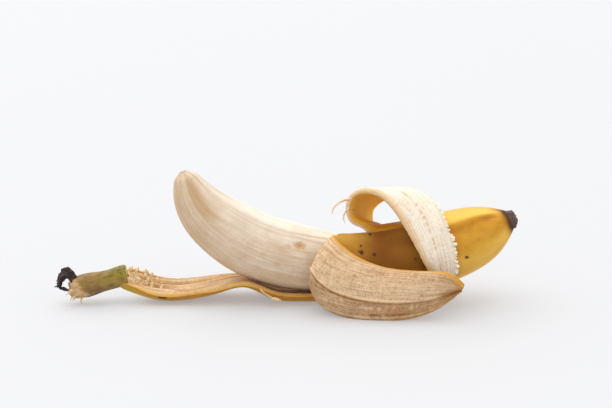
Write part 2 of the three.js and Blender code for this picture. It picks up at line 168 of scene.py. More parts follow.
def fbm(x, y=0.0, z=0.0, seed=0, octaves=3):
    total, amp, norm = 0, 1.0, 0.0
    for o in range(octaves):
        f = 2.0 ** o
        total = total + amp * (noise(np.asarray(x) * f, np.asarray(y) * f, np.asarray(z) * f, seed + 17 * o) - 0.5)
        norm += amp
        amp *= 0.5
    return total / norm * 2


axis_f, skin_f, pulp_f = spline(AXIS), spline(SKIN_R), spline(PULP_R)
A0 = axis_f(np.array(0.0))
A_SLOPE = (axis_f(np.array(0.1)) - A0) / 0.1


def axis_point(s):
    return axis_f(np.maximum(s, 0)) + np.minimum(s, 0)[..., None] * A_SLOPE


def ridge(theta):
    r = np.zeros_like(theta)
    for deg, w in RIDGES:
        d = (theta - rad(deg) + math.pi) % (2 * math.pi) - math.pi
        r += w * np.exp(-(d / RIDGE_W) ** 2)
    return r


def around(s, theta, r):
    s, theta, r = np.broadcast_arrays(np.asarray(s, float), np.asarray(theta, float), np.asarray(r, float))
    c = axis_point(s)
    d = axis_point(s + 0.05) - axis_point(s - 0.05)
    d = d / np.linalg.norm(d, axis=-1)[..., None]
    up = r * np.sin(theta)
    return np.stack([c[..., 0] + d[..., 1] * up, PLANE_Y - r * np.cos(theta), c[..., 1] - d[..., 0] * up], -1)


def skin_radius(s):
    return skin_f(s)[..., 0]


def skin_point(s, theta):
    r = skin_radius(s) - PEEL_T / 2 + RIDGE_H * smooth(2, 25, s) * (ridge(theta) - 0.4)
    return around(s, theta, r)


def pulp_radius(s, theta):
    slope = (skin_radius(s + 0.2) - skin_radius(s - 0.2)) / 0.4
    inside = skin_radius(s) - PEEL_T * np.sqrt(1 + slope ** 2) - PULP_GAP
    k = smooth(76, 94, s)
    r = inside * (1 - k) + pulp_f(np.maximum(s, PULP_R[0][0]))[..., 0] * k
    r = r * np.sqrt(1 - (1 - np.clip((s - PULP_START) / PULP_ROUND, 0, 1)) ** 2.2)
    return r + RIDGE_H * smooth(8, 25, s) * (1 - smooth(160, 184, s)) * (ridge(theta) - 0.4)


class Strip:
    """A bent sheet of skin: s along it, w from -1 to 1 across it."""

    def __init__(self, name, start, end, length, free, root, edge1, middle, edge2):
        self.name, self.start, self.end, self.length, self.free = name, start, end, length, free
        self.t0, self.t1 = rad(start[0]), rad(end[0])
        self.turn = 1.0 if self.t1 > self.t0 else -1.0
        self.guides = []
        for k, stations in enumerate((edge1, middle, edge2)):
            theta = (self.t0, (self.t0 + self.t1) / 2, self.t1)[k]
            rs = np.array(root[k], float)
            pts = skin_point(rs, np.full(len(rs), theta))
            self.guides.append(spline(np.vstack([np.column_stack([rs, pts]), np.array(stations, float)])))

    def theta(self, w):
        return self.t0 + (self.t1 - self.t0) * (w + 1) / 2

    def point(self, s, w):
        skin = skin_point(s, self.theta(w))
        u = (w + 1) / 2
        a = self.free[0][0] * (1 - u) + self.free[1][0] * u
        b = self.free[0][1] * (1 - u) + self.free[1][1] * u
        t = np.clip((s - a) / (b - a), 0, 1)
        k = (t * t * (3 - 2 * t))[..., None]
        p, q, r = [g(s) for g in self.guides]
        arc = rad(60)
        mid, half = (p + r) / 2, (r - p) / 2
        free = (mid + half * (np.sin(arc * w) / math.sin(arc))[..., None]
                + (q - mid) * ((np.cos(arc * w) - math.cos(arc)) / (1 - math.cos(arc)))[..., None])
        return skin * (1 - k) + free * k

    def normal(self, s, w):
        ds = self.point(s + 0.4, w) - self.point(np.maximum(s - 0.4, 0), w)
        dw = self.point(s, w + 0.02) - self.point(s, w - 0.02)
        n = np.cross(dw, ds)
        return self.turn * n / (np.linalg.norm(n, axis=-1)[..., None] + 1e-12)

    def gap(self, edge, s, most=0.25):
        return np.where(s <= edge[1], 0.0, np.minimum(most, 0.1 + 0.02 * (s - edge[1])) / HALF_ARC)


FRONT = Strip("front", TOP, FRONTSPLIT, **FRONT_DEF)
CURLED = Strip("curled", TOP, BACK, **CURLED_DEF)
LYING = Strip("lying", FRONTSPLIT, (BACK[0] - 360, BACK[1]), **LYING_DEF)
STRIPS = [FRONT, CURLED, LYING]


# ------------------------------------------------------------- mesh utilities
def grid_faces(rows, cols, offset=0, flip=False, wrap=False):
    i, j = np.meshgrid(np.arange(rows - 1), np.arange(cols if wrap else cols - 1), indexing="ij")
    jn = (j + 1) % cols
    a, b, c, d = i * cols + j, (i + 1) * cols + j, (i + 1) * cols + jn, i * cols + jn
    q = np.stack([a, b, c, d], -1).reshape(-1, 4) + offset
    return q[:, ::-1] if flip else q


class Shell:
    """Collects grids of points with named values at the points, then makes one mesh."""

    def __init__(self, name):
        self.name, self.v, self.f, self.m, self.n = name, [], [], [], 0
        self.values = {}

    def add(self, points, faces, material=0, **values):
        p = points.reshape(-1, 3)
        for key in set(self.values) | set(values):
            width = self.values[key][0].shape[1] if key in self.values else None
            val = values.get(key)
            if val is None:
                val = np.zeros((len(p), width or 1))
            else:
                val = np.asarray(val, float).reshape(len(p), -1)
            if key not in self.values:
                self.values[key] = [np.zeros((self.n, val.shape[1]))] if self.n else []
            self.values[key].append(val)
        self.v.append(p)
        for f in (faces if isinstance(faces, list) else [faces]):
            self.f.append(f + self.n)
            self.m.append(np.full(len(f), material))
        self.n += len(p)

    def build(self, materials, weld=True, uv=None, smooth_shade=True):
        v = np.concatenate(self.v)
        m = np.concatenate(self.m)
        vals = {k: np.concatenate(x) for k, x in self.values.items()}
        if weld:
            key = np.round(v * 2000).astype(np.int64)
            _, first, inverse = np.unique(key, axis=0, return_index=True, return_inverse=True)
            inverse = inverse.ravel()
            v = v[first]
            vals = {k: x[first] for k, x in vals.items()}
        else:
            inverse = np.arange(len(v))
        faces, mats = [], []
        start = 0
        for f in self.f:
            g = inverse[f]
            mm = m[start:start + len(f)]
            start += len(f)
            if f.shape[1] == 4:
                ok = np.ones(len(g), bool)
                for a in range(4):
                    ok &= g[:, a] != g[:, (a + 1) % 4]
                faces += g[ok].tolist()
                mats.append(mm[ok])
                for bad in np.nonzero(~ok)[0]:
                    u = list(dict.fromkeys(g[bad].tolist()))
                    if len(u) == 3:
                        faces.append(u)
                        mats.append(mm[bad:bad + 1])
            else:
                ok = (g[:, 0] != g[:, 1]) & (g[:, 1] != g[:, 2]) & (g[:, 2] != g[:, 0])
                faces += g[ok].tolist()
                mats.append(mm[ok])
        mesh = bpy.data.meshes.new(self.name)
        mesh.from_pydata(((v + SHIFT) * MM).tolist(), [], faces)
        mesh.validate(clean_customdata=False)
        for k, x in vals.items():
            if x.shape[1] == 3:
                at = mesh.attributes.new(k, "FLOAT_VECTOR", "POINT")
                at.data.foreach_set("vector", x.astype(np.float32).ravel())
            else:
                at = mesh.attributes.new(k, "FLOAT", "POINT")
                at.data.foreach_set("value", x[:, 0].astype(np.float32))
        if smooth_shade:
            mesh.polygons.foreach_set("use_smooth", [True] * len(mesh.polygons))
        for mat in materials:
            mesh.materials.append(mat)
        if len(materials) > 1:
            mesh.polygons.foreach_set("material_index", np.concatenate(mats).astype(np.int32)[:len(mesh.polygons)])
        ob = bpy.data.objects.new(self.name, mesh)
        bpy.context.scene.collection.objects.link(ob)
        return ob


# ------------------------------------------------------------------ materials
class Nodes:
    """Small helper to write shader nodes as expressions."""

    def __init__(self, name, rough=0.5):
        self.mat = bpy.data.materials.new(name)
        self.mat.use_nodes = True
        self.nt = self.mat.node_tree
        self.nt.nodes.clear()
        self.out = self.nt.nodes.new("ShaderNodeOutputMaterial")
        self.bsdf = self.nt.nodes.new("ShaderNodeBsdfPrincipled")
        self.nt.links.new(self.bsdf.outputs[0], self.out.inputs[0])
        self.bsdf.inputs["Roughness"].default_value = rough

    def put(self, socket, value):
        if hasattr(value, "is_output") or isinstance(value, bpy.types.NodeSocket):
            self.nt.links.new(value, socket)
        elif isinstance(value, (tuple, list)) and len(value) == 3 and socket.type == "RGBA":
            socket.default_value = (*value, 1)
        else:
            socket.default_value = value
        return socket

    def attr(self, name, vector=False):
        n = self.nt.nodes.new("ShaderNodeAttribute")
        n.attribute_name = name
        return n.outputs["Vector" if vector else "Fac"]

    def math(self, op, a, b=0.0, clamp=False):
        n = self.nt.nodes.new("ShaderNodeMath")
        n.operation, n.use_clamp = op, clamp
        self.put(n.inputs[0], a)
        self.put(n.inputs[1], b)
        return n.outputs[0]

    def mix(self, fac, a, b, blend="MIX"):
        n = self.nt.nodes.new("ShaderNodeMix")
        n.data_type, n.blend_type, n.clamp_factor = "RGBA", blend, True
        self.put(n.inputs[0], fac)
        self.put(n.inputs[6], a)
        self.put(n.inputs[7], b)
        return n.outputs[2]

    def remap(self, value, a, b, c=0.0, d=1.0):
        n = self.nt.nodes.new("ShaderNodeMapRange")
        n.interpolation_type = "SMOOTHSTEP"
        self.put(n.inputs[0], value)
        for k, x in enumerate((a, b, c, d)):
            n.inputs[k + 1].default_value = x
        return n.outputs[0]

    def noise(self, vector, scale, detail=3.0, rough=0.55, stretch=(1, 1, 1), distortion=0.0):
        m = self.nt.nodes.new("ShaderNodeMapping")
        m.inputs["Scale"].default_value = [scale * k for k in stretch]
        self.put(m.inputs[0], vector)
        n = self.nt.nodes.new("ShaderNodeTexNoise")
        self.put(n.inputs["Vector"], m.outputs[0])
        n.inputs["Scale"].default_value = 1.0
        n.inputs["Detail"].default_value = detail
        n.inputs["Roughness"].default_value = rough
        n.inputs["Distortion"].default_value = distortion
        return n.outputs["Fac"]

    def voronoi(self, vector, scale, stretch=(1, 1, 1), feature="F1"):
        m = self.nt.nodes.new("ShaderNodeMapping")
        m.inputs["Scale"].default_value = [scale * k for k in stretch]
        self.put(m.inputs[0], vector)
        n = self.nt.nodes.new("ShaderNodeTexVoronoi")
        n.feature = feature
        self.put(n.inputs["Vector"], m.outputs[0])
        n.inputs["Scale"].default_value = 1.0
        return n.outputs["Distance"]

    def bump(self, height, distance, strength=1.0, normal=None):
        n = self.nt.nodes.new("ShaderNodeBump")
        n.inputs["Strength"].default_value = strength
        n.inputs["Distance"].default_value = distance
        self.put(n.inputs["Height"], height)
        if normal is not None:
            self.put(n.inputs["Normal"], normal)
        return n.outputs[0]

    def finish(self, color, rough=None, normal=None, **constants):
        self.put(self.bsdf.inputs["Base Color"], color)
        if rough is not None:
            self.put(self.bsdf.inputs["Roughness"], rough)
        if normal is not None:
            self.put(self.bsdf.inputs["Normal"], normal)
        for k, v in constants.items():
            self.bsdf.inputs[k.replace("_", " ")].default_value = v
        return self.mat


def skin_material():
    """Waxy yellow outside of the skin."""
    m = Nodes("banana_skin", 0.45)
    p = m.attr("sheet", vector=True)
    tone, spot, green, edge, dark = m.attr("tone"), m.attr("spot"), m.attr("green"), m.attr("edge"), m.attr("dark")
    amber = m.attr("amber")
    fine = m.noise(p, 1.0, 4, 0.6, (1.2, 0.35, 1.2))
    mottled = m.noise(p, 0.16, 3, 0.55)
    col = m.mix(m.remap(mottled, 0.35, 0.68), (0.63, 0.290, 0.018), (0.52, 0.225, 0.012))
    # lighter yellow by tone, which includes a painted highlight on the top facet and painted light on the lower front
    # near the blossom end
    col = m.mix(m.remap(tone, 0.0, 1.0), col, (0.86, 0.535, 0.085))
    col = m.mix(amber, col, (0.98, 0.60, 0.06))
    col = m.mix(m.math("MULTIPLY", m.remap(fine, 0.45, 0.75), 0.35), col, (0.60, 0.30, 0.035))
    col = m.mix(m.math("MULTIPLY", green, 0.85, True), col, (0.36, 0.33, 0.045))
    freckle = m.voronoi(p, 0.42, (1, 0.8, 1))
    freckle = m.math("MULTIPLY", m.remap(freckle, 0.20, 0.06), m.remap(m.noise(p, 0.09, 2), 0.52, 0.66))
    col = m.mix(m.math("MULTIPLY", freckle, 0.55), col, (0.22, 0.10, 0.025))
    # browning and the dark blossom tip, with painted shade in the pocket under the curled strip and below the ridge
    col = m.mix(dark, col, (0.22, 0.070, 0.008))
    col = m.mix(edge, col, (0.46, 0.225, 0.045))
    col = m.mix(spot, col, (0.075, 0.026, 0.008))
    rough = m.math("ADD", m.math("MULTIPLY", m.noise(p, 0.6, 3), 0.22), 0.34)
    rough = m.math("ADD", rough, m.math("MULTIPLY", m.math("MAXIMUM", m.math("MAXIMUM", dark, amber), spot), 0.35), True)
    pores = m.noise(p, 2.6, 2, 0.5)
    n = m.bump(m.math("ADD", m.math("MULTIPLY", fine, 0.6), m.math("MULTIPLY", pores, 0.4)), 0.00012, 0.5)
    mat = m.finish(col, rough, n, Specular_IOR_Level=0.18, Subsurface_Weight=0.10, Subsurface_Scale=0.002,
                   Coat_Weight=0.02, Coat_Roughness=0.35)
    mat.node_tree.nodes[1].inputs["Subsurface Radius"].default_value = (1.0, 0.55, 0.15)
    return mat


def lining_material(name, pale, mid, deep):
    """Pale fibrous inside of the skin, and its torn edges."""
    m = Nodes(name, 0.7)
    p = m.attr("sheet", vector=True)
    rib, brown, edge, tone, cross = m.attr("rib"), m.attr("brown"), m.attr("edge"), m.attr("tone"), m.attr("cross")
    strands = m.noise(p, 1.0, 4, 0.65, (2.2, 0.06, 2.2), 0.25)
    weave = m.noise(p, 1.0, 3, 0.6, (0.55, 2.0, 0.55), 0.5)
    lace = m.noise(p, 1.0, 3, 0.65, (1.5, 1.1, 1.5), 0.3)
    patch = m.noise(p, 0.11, 3, 0.55, (1.4, 0.7, 1))
    col = m.mix(m.remap(tone, 0.0, 1.0), pale, mid)
    col = m.mix(m.math("MULTIPLY", m.remap(strands, 0.42, 0.64), 0.55), col, deep)
    col = m.mix(m.math("MULTIPLY", m.remap(weave, 0.48, 0.66), 0.50), col, deep)
    col = m.mix(m.math("MULTIPLY", m.remap(lace, 0.50, 0.66), 0.60), col, pale)
    col = m.mix(m.math("MULTIPLY", m.remap(patch, 0.50, 0.74), 0.34), col, deep)
    col = m.mix(m.remap(rib, 0.25, 0.95, 0.0, 0.55), col, pale)
    col = m.mix(m.remap(rib, -0.2, -0.9, 0.0, 0.80), col, deep)
    # brown lines, streaks and torn ends, with painted shade under the pulp on the lying strip
    col = m.mix(brown, col, (0.40, 0.165, 0.032))
    skin = m.mix(m.noise(p, 0.5, 3), (0.78, 0.42, 0.075), (0.66, 0.32, 0.045))
    col = m.mix(edge, col, skin)
    h = m.math("ADD", m.math("MULTIPLY", strands, 0.55), m.math("MULTIPLY", weave, 0.45))
    n = m.bump(h, 0.0005, 0.9)
    rough = m.math("ADD", m.math("MULTIPLY", strands, 0.2), 0.60)
    mat = m.finish(col, rough, n, Specular_IOR_Level=0.22, Subsurface_Weight=0.12, Subsurface_Scale=0.0015)
    mat.node_tree.nodes[1].inputs["Subsurface Radius"].default_value = (1.0, 0.6, 0.3)
    return mat


def pulp_material():
    m = Nodes("banana_pulp", 0.5)
    p = m.attr("sheet", vector=True)
    groove, tan, bruise = m.attr("groove"), m.attr("tan"), m.attr("bruise")
    streak = m.noise(p, 1.0, 4, 0.62, (1.2, 0.05, 1.2), 0.5)
    grain = m.noise(p, 1.0, 3, 0.6, (1.8, 0.7, 1.8))
    patch = m.noise(p, 0.08, 3, 0.55)
    fleck = m.math("MULTIPLY", m.remap(m.voronoi(p, 0.55, (1, 0.7, 1)), 0.26, 0.06), m.remap(m.noise(p, 0.10, 2), 0.50, 0.64))
    col = m.mix(m.remap(patch, 0.35, 0.7), (0.81, 0.68, 0.53), (0.69, 0.54, 0.39))
    col = m.mix(m.math("MULTIPLY", m.remap(streak, 0.44, 0.68), 0.52), col, (0.64, 0.44, 0.26))
    col = m.mix(m.math("MULTIPLY", m.remap(grain, 0.48, 0.70), 0.50), col, (0.64, 0.45, 0.26))
    col = m.mix(m.math("MULTIPLY", fleck, 0.45), col, (0.50, 0.31, 0.14))
    # painted highlight on the top of the pulp
    col = m.mix(m.math("MULTIPLY", m.attr("pale"), 0.75, True), col, (0.93, 0.88, 0.79))
    # tan marks at the tip and along the pulp, with painted shade on its lower front
    col = m.mix(m.math("MULTIPLY", tan, 0.80, True), col, (0.58, 0.37, 0.18))
    col = m.mix(m.math("MULTIPLY", groove, 0.7, True), col, (0.56, 0.38, 0.21))
    col = m.mix(bruise, col, (0.54, 0.29, 0.09))
    h = m.math("ADD", m.math("MULTIPLY", streak, 0.6), m.math("MULTIPLY", grain, 0.4))
    n = m.bump(h, 0.0005, 0.85)
    rough = m.math("ADD", m.math("MULTIPLY", grain, 0.25), 0.40)
    mat = m.finish(col, rough, n, Specular_IOR_Level=0.30, Subsurface_Weight=0.28, Subsurface_Scale=0.0025)
    mat.node_tree.nodes[1].inputs["Subsurface Radius"].default_value = (1.0, 0.65, 0.35)
    return mat


def stem_material():
    m = Nodes("banana_stem", 0.55)
    p = m.attr("sheet", vector=True)
    green, torn, dark, cut = m.attr("green"), m.attr("torn"), m.attr("dark"), m.attr("cut")
    fibre = m.noise(p, 1.0, 4, 0.65, (0.28, 2.2, 2.2))
    patch = m.noise(p, 0.22, 3)
    col = m.mix(m.remap(patch, 0.4, 0.65), (0.31, 0.185, 0.042), (0.22, 0.115, 0.03))
    col = m.mix(green, col, m.mix(m.remap(patch, 0.42, 0.62), (0.32, 0.245, 0.022), (0.19, 0.135, 0.016)))
    col = m.mix(m.math("MULTIPLY", m.remap(fibre, 0.5, 0.72), 0.4), col, (0.16, 0.085, 0.03))
    # darker blotches, with painted shade on the stem's underside
    col = m.mix(dark, col, (0.07, 0.04, 0.022))
    raw = m.mix(m.remap(fibre, 0.35, 0.7), (0.76, 0.52, 0.27), (0.32, 0.16, 0.065))
    col = m.mix(torn, col, raw)
    col = m.mix(cut, col, m.mix(m.remap(fibre, 0.35, 0.7), (0.72, 0.62, 0.28), (0.52, 0.44, 0.12)))
    n = m.bump(fibre, 0.0003, 0.7)
    return m.finish(col, m.math("ADD", m.math("MULTIPLY", fibre, 0.25), 0.42), n, Specular_IOR_Level=0.35)


def dried_material(name, a, b, c):
    m = Nodes(name, 0.6)
    p = m.attr("sheet", vector=True)
    f = m.noise(p, 1.2, 4, 0.65, (1, 2, 1))
    g = m.noise(p, 0.5, 3)
    col = m.mix(m.remap(f, 0.35, 0.7), a, b)
    col = m.mix(m.remap(g, 0.55, 0.75), col, c)
    n = m.bump(f, 0.0005, 0.9)
    return m.finish(col, m.math("ADD", m.math("MULTIPLY", g, 0.3), 0.4), n, Specular_IOR_Level=0.4)


def fibre_material(name, pale, deep):
    m = Nodes(name, 0.7)
    p = m.attr("sheet", vector=True)
    f = m.noise(p, 1.0, 3, 0.6, (2, 0.3, 2))
    col = m.mix(m.remap(f, 0.35, 0.7), pale, deep)
    n = m.bump(f, 0.0002, 0.6)
    return m.finish(col, m.math("ADD", m.math("MULTIPLY", f, 0.2), 0.6), n, Specular_IOR_Level=0.25,
                    Subsurface_Weight=0.2, Subsurface_Scale=0.001)

# ---------------------------------------------------------------- the skin
COLS = 72
HIDDEN_TO = 38.0      # the inside of the sleeve up to here is covered by the pulp
STEP = 0.5


def row_table(strip):
    a = np.arange(0, HIDDEN_TO, 0.8)
    b = np.linspace(HIDDEN_TO, 70, 49)[:-1]
    c = np.linspace(70, strip.length, int(round((strip.length - 70) / STEP)))
    fixed = np.array([0, BACK[1], TOP[1], FRONTSPLIT[1]], float)
    rows = np.unique(np.round(np.concatenate([a, b, fixed]), 4))
    return np.concatenate([rows, c])


def half_width(strip, s):
    """Half the length of the cross-section at s, in mm."""
    w = np.linspace(-1, 1, 25)
    q = strip.point(np.repeat(s[:, None], 25, 1), np.repeat(w[None], len(s), 0))
    return np.linalg.norm(np.diff(q, axis=1), axis=2).sum(1) / 2


def margins(strip, s, inner):
    """How far the torn edges stand back from the nominal edge, as a share of w."""
    out = []
    unit = 1 / np.maximum(half_width(strip, s), 4.0)
    for k, edge in enumerate((strip.start, strip.end)):
        seed = STRIPS.index(strip) * 10 + k
        loose = smooth(edge[1] + 12, edge[1] + 40, s)
        base = strip.gap(edge, s)
        rough = 0.30 * loose * (0.5 + 0.6 * fbm(s * 0.16, 0, 0, seed + 3, 2) + 0.5 * fbm(s * 0.9, 0, 0, seed + 5, 2))
        rough = np.maximum(rough, 0)
        if not inner:
            rough = rough + 0.14 * loose * np.maximum(0.6 + fbm(s * 0.5, 3, 0, seed + 9, 2), 0)
        if strip is CURLED and k == 1:
            comb = smooth(132, 140, s) * (1 - smooth(166, 169, s))
            tooth = np.abs(((s / 2.1 + 0.30 * noise(s * 0.2, 0, 0, 77)) % 1.0) - 0.5) * 2
            long = 0.35 + 0.65 * noise(s * 0.40, 0, 0, 78)
            if inner:
                rough = rough * (1 - comb) + comb * (0.15 + 0.75 * long * smooth(0.30, 0.62, tooth))
            else:
                rough = rough + comb * 1.3
        out.append(base + rough * unit)
    return out


def crest(s, theta):
    """Angle from the long ridge that runs back from the blossom end."""
    return theta - rad(1) * np.interp(s, [0, 8, 20, 34, 50], [58, 55, 50, 46, 44])


def skin_relief(s, theta):
    r = 17.0
    x, y = np.cos(theta) * r, np.sin(theta) * r
    d = crest(s, theta)
    on = smooth(2, 8, s) * (1 - smooth(46, 60, s))
    return (0.12 * fbm(x * 0.10, y * 0.10, s * 0.035, 11, 2) + 0.045 * fbm(x * 0.6, y * 0.6, s * 0.12, 12, 2)
            ) * smooth(0, 6, s) + on * (0.42 * bell(d, 0.10) - 0.34 * bell(d + 0.24, 0.13))


SPOTS = [(71.5, 63.6, 0.9), (77.1, 43.6, 0.7), (76.9, 32.7, 1.15), (70.3, 28.4, 0.95), (78.4, 34.5, 0.5),
         (50.0, 11.1, 0.75), (26.0, -13.8, 0.8), (36, 22, 0.35), (31.5, -2, 0.3), (60, 50, 0.4), (45, 35, 0.3),
         (22, 100, 0.6), (35, 150, 0.9), (48, 200, 0.7), (30, 235, 0.8), (62, 250, 0.6), (20, 300, 0.5),
         (90, 100, 0.7), (110, 130, 0.9), (128, 95, 0.5), (150, 150, 0.8), (120, 10, 0.9), (140, 30, 0.6),
         (160, 0, 0.8), (100, 262, 0.9), (130, 240, 0.7), (155, 280, 1.0), (176, 250, 0.7)]


def skin_values(strip, s, w, theta, p):
    r = 17.5
    spot = np.zeros_like(s)
    for k, (ss, deg, size) in enumerate(SPOTS):
        d = (theta - rad(deg) + math.pi) % (2 * math.pi) - math.pi
        ds, dt = (s - ss), d * np.minimum(r, skin_radius(np.minimum(s, 80)))
        dist = np.hypot(ds * (1.15 - 0.3 * (k % 3 == 0)), dt)
        dist = dist * (1 + 0.35 * fbm(ds * 0.9 + 50 * k, dt * 0.9, 0, 31, 2))
        spot = np.maximum(spot, 1 - smooth(size * 0.55, size * 1.25, dist))
    dash = smooth(2.6, 1.6, np.abs(s - 176.2)) * smooth(0.075, 0.04, np.abs(w + 0.90)) if strip.name == "lying" else 0
    spot = np.maximum(spot, dash)
    high = ridge(theta)
    tone = np.clip(0.42 * high + 0.25 * fbm(s * 0.05, np.cos(theta) * 2, np.sin(theta) * 2, 41, 3) + 0.12, 0, 1)
    line = crest(s, theta)
    on = smooth(3, 9, s) * (1 - smooth(44, 56, s))
    # painted highlight on the facet above the ridge that runs back from the blossom end, and a painted shade line just
    # below that ridge
    tone = np.clip(tone + on * (0.55 * smooth(-0.02, 0.20, line) * (1 - smooth(0.75, 1.1, line)) - 0.3 * bell(line + 0.2, 0.16)), 0, 1)
    green = 0.15 * smooth(6, 0, s) + (0.9 * smooth(176, 200, s) if strip.name == "lying" else 0)
    spot = np.maximum(spot, 0.9 * smooth(2.3, 1.0, s + 0.9 * fbm(np.cos(theta) * 2, np.sin(theta) * 2, 0, 42, 2)))
    # darker at the blossom tip and in random patches, plus a painted shade line just below the ridge
    dark = (0.9 * smooth(5.0, 0.5, s + 0.9 * fbm(theta * 2, 0, 0, 43, 2))
            + 0.30 * smooth(0.45, 0.95, fbm(s * 0.04, np.cos(theta) * 1.6, np.sin(theta) * 1.6, 44, 3))
            + 0.22 * on * bell(line + 0.17, 0.11))
    # painted shade: the front strip's skin is darkened in the pocket between it and the curled strip, where shade falls
    if strip is FRONT:
        dark = dark + (0.40 * smooth(96, 88, s) + 0.55 * smooth(84, 66, s)) * smooth(28, 40, s) * (0.9 + 0.2 * fbm(s * 0.06, theta * 2, 0, 47, 2))
    if strip is LYING:
        dark = dark + 0.34 * smooth(80, 100, s) * (0.8 + 0.5 * fbm(s * 0.05, theta * 2, 0, 49, 2)) * smooth(184, 170, s)
    amber = (0.85 * smooth(66, 84, s) * (1 - smooth(118, 136, s)) * (0.85 + 0.3 * fbm(s * 0.08, theta * 3, 0, 48, 2))
             if strip is CURLED else np.zeros_like(s))
    # painted light: the lower front of the sleeve near the blossom end is made lighter, standing in for light thrown up
    # from the floor
    below = (theta + math.pi) % (2 * math.pi) - math.pi
    tone = np.clip(tone + 0.45 * smooth(rad(0), rad(-40), below) * smooth(rad(-130), rad(-90), below) * (1 - smooth(50, 70, s)), 0, 1)
    rim = np.minimum(np.where(s > strip.start[1] + 4, (w + 1), 9), np.where(s > strip.end[1] + 4, (1 - w), 9)) * HALF_ARC
    if strip is LYING:
        rim = rim * (1 - 0.62 * smooth(100, 120, s))
    edge = 0.75 * smooth(1.5, 0.2, rim + 0.6 * fbm(s * 0.35, w * 5, 0, 45, 2))
    edge = np.maximum(edge, smooth(strip.length - 5, strip.length, s))
    return dict(tone=tone, spot=np.clip(spot, 0, 1), amber=np.clip(amber, 0, 1), green=np.clip(green, 0, 1), edge=np.clip(edge, 0, 1),
                dark=np.clip(dark, 0, 1), sheet=np.stack([theta * 17.5, s, np.zeros_like(s)], -1))


CREASE = ([60, 88, 94, 100, 106, 117, 130, 143, 156, 167, 176], [0.0, 0.0, 0.02, 0.06, 0.13, 0.25, 0.33, 0.35, 0.33, 0.26, 0.15])


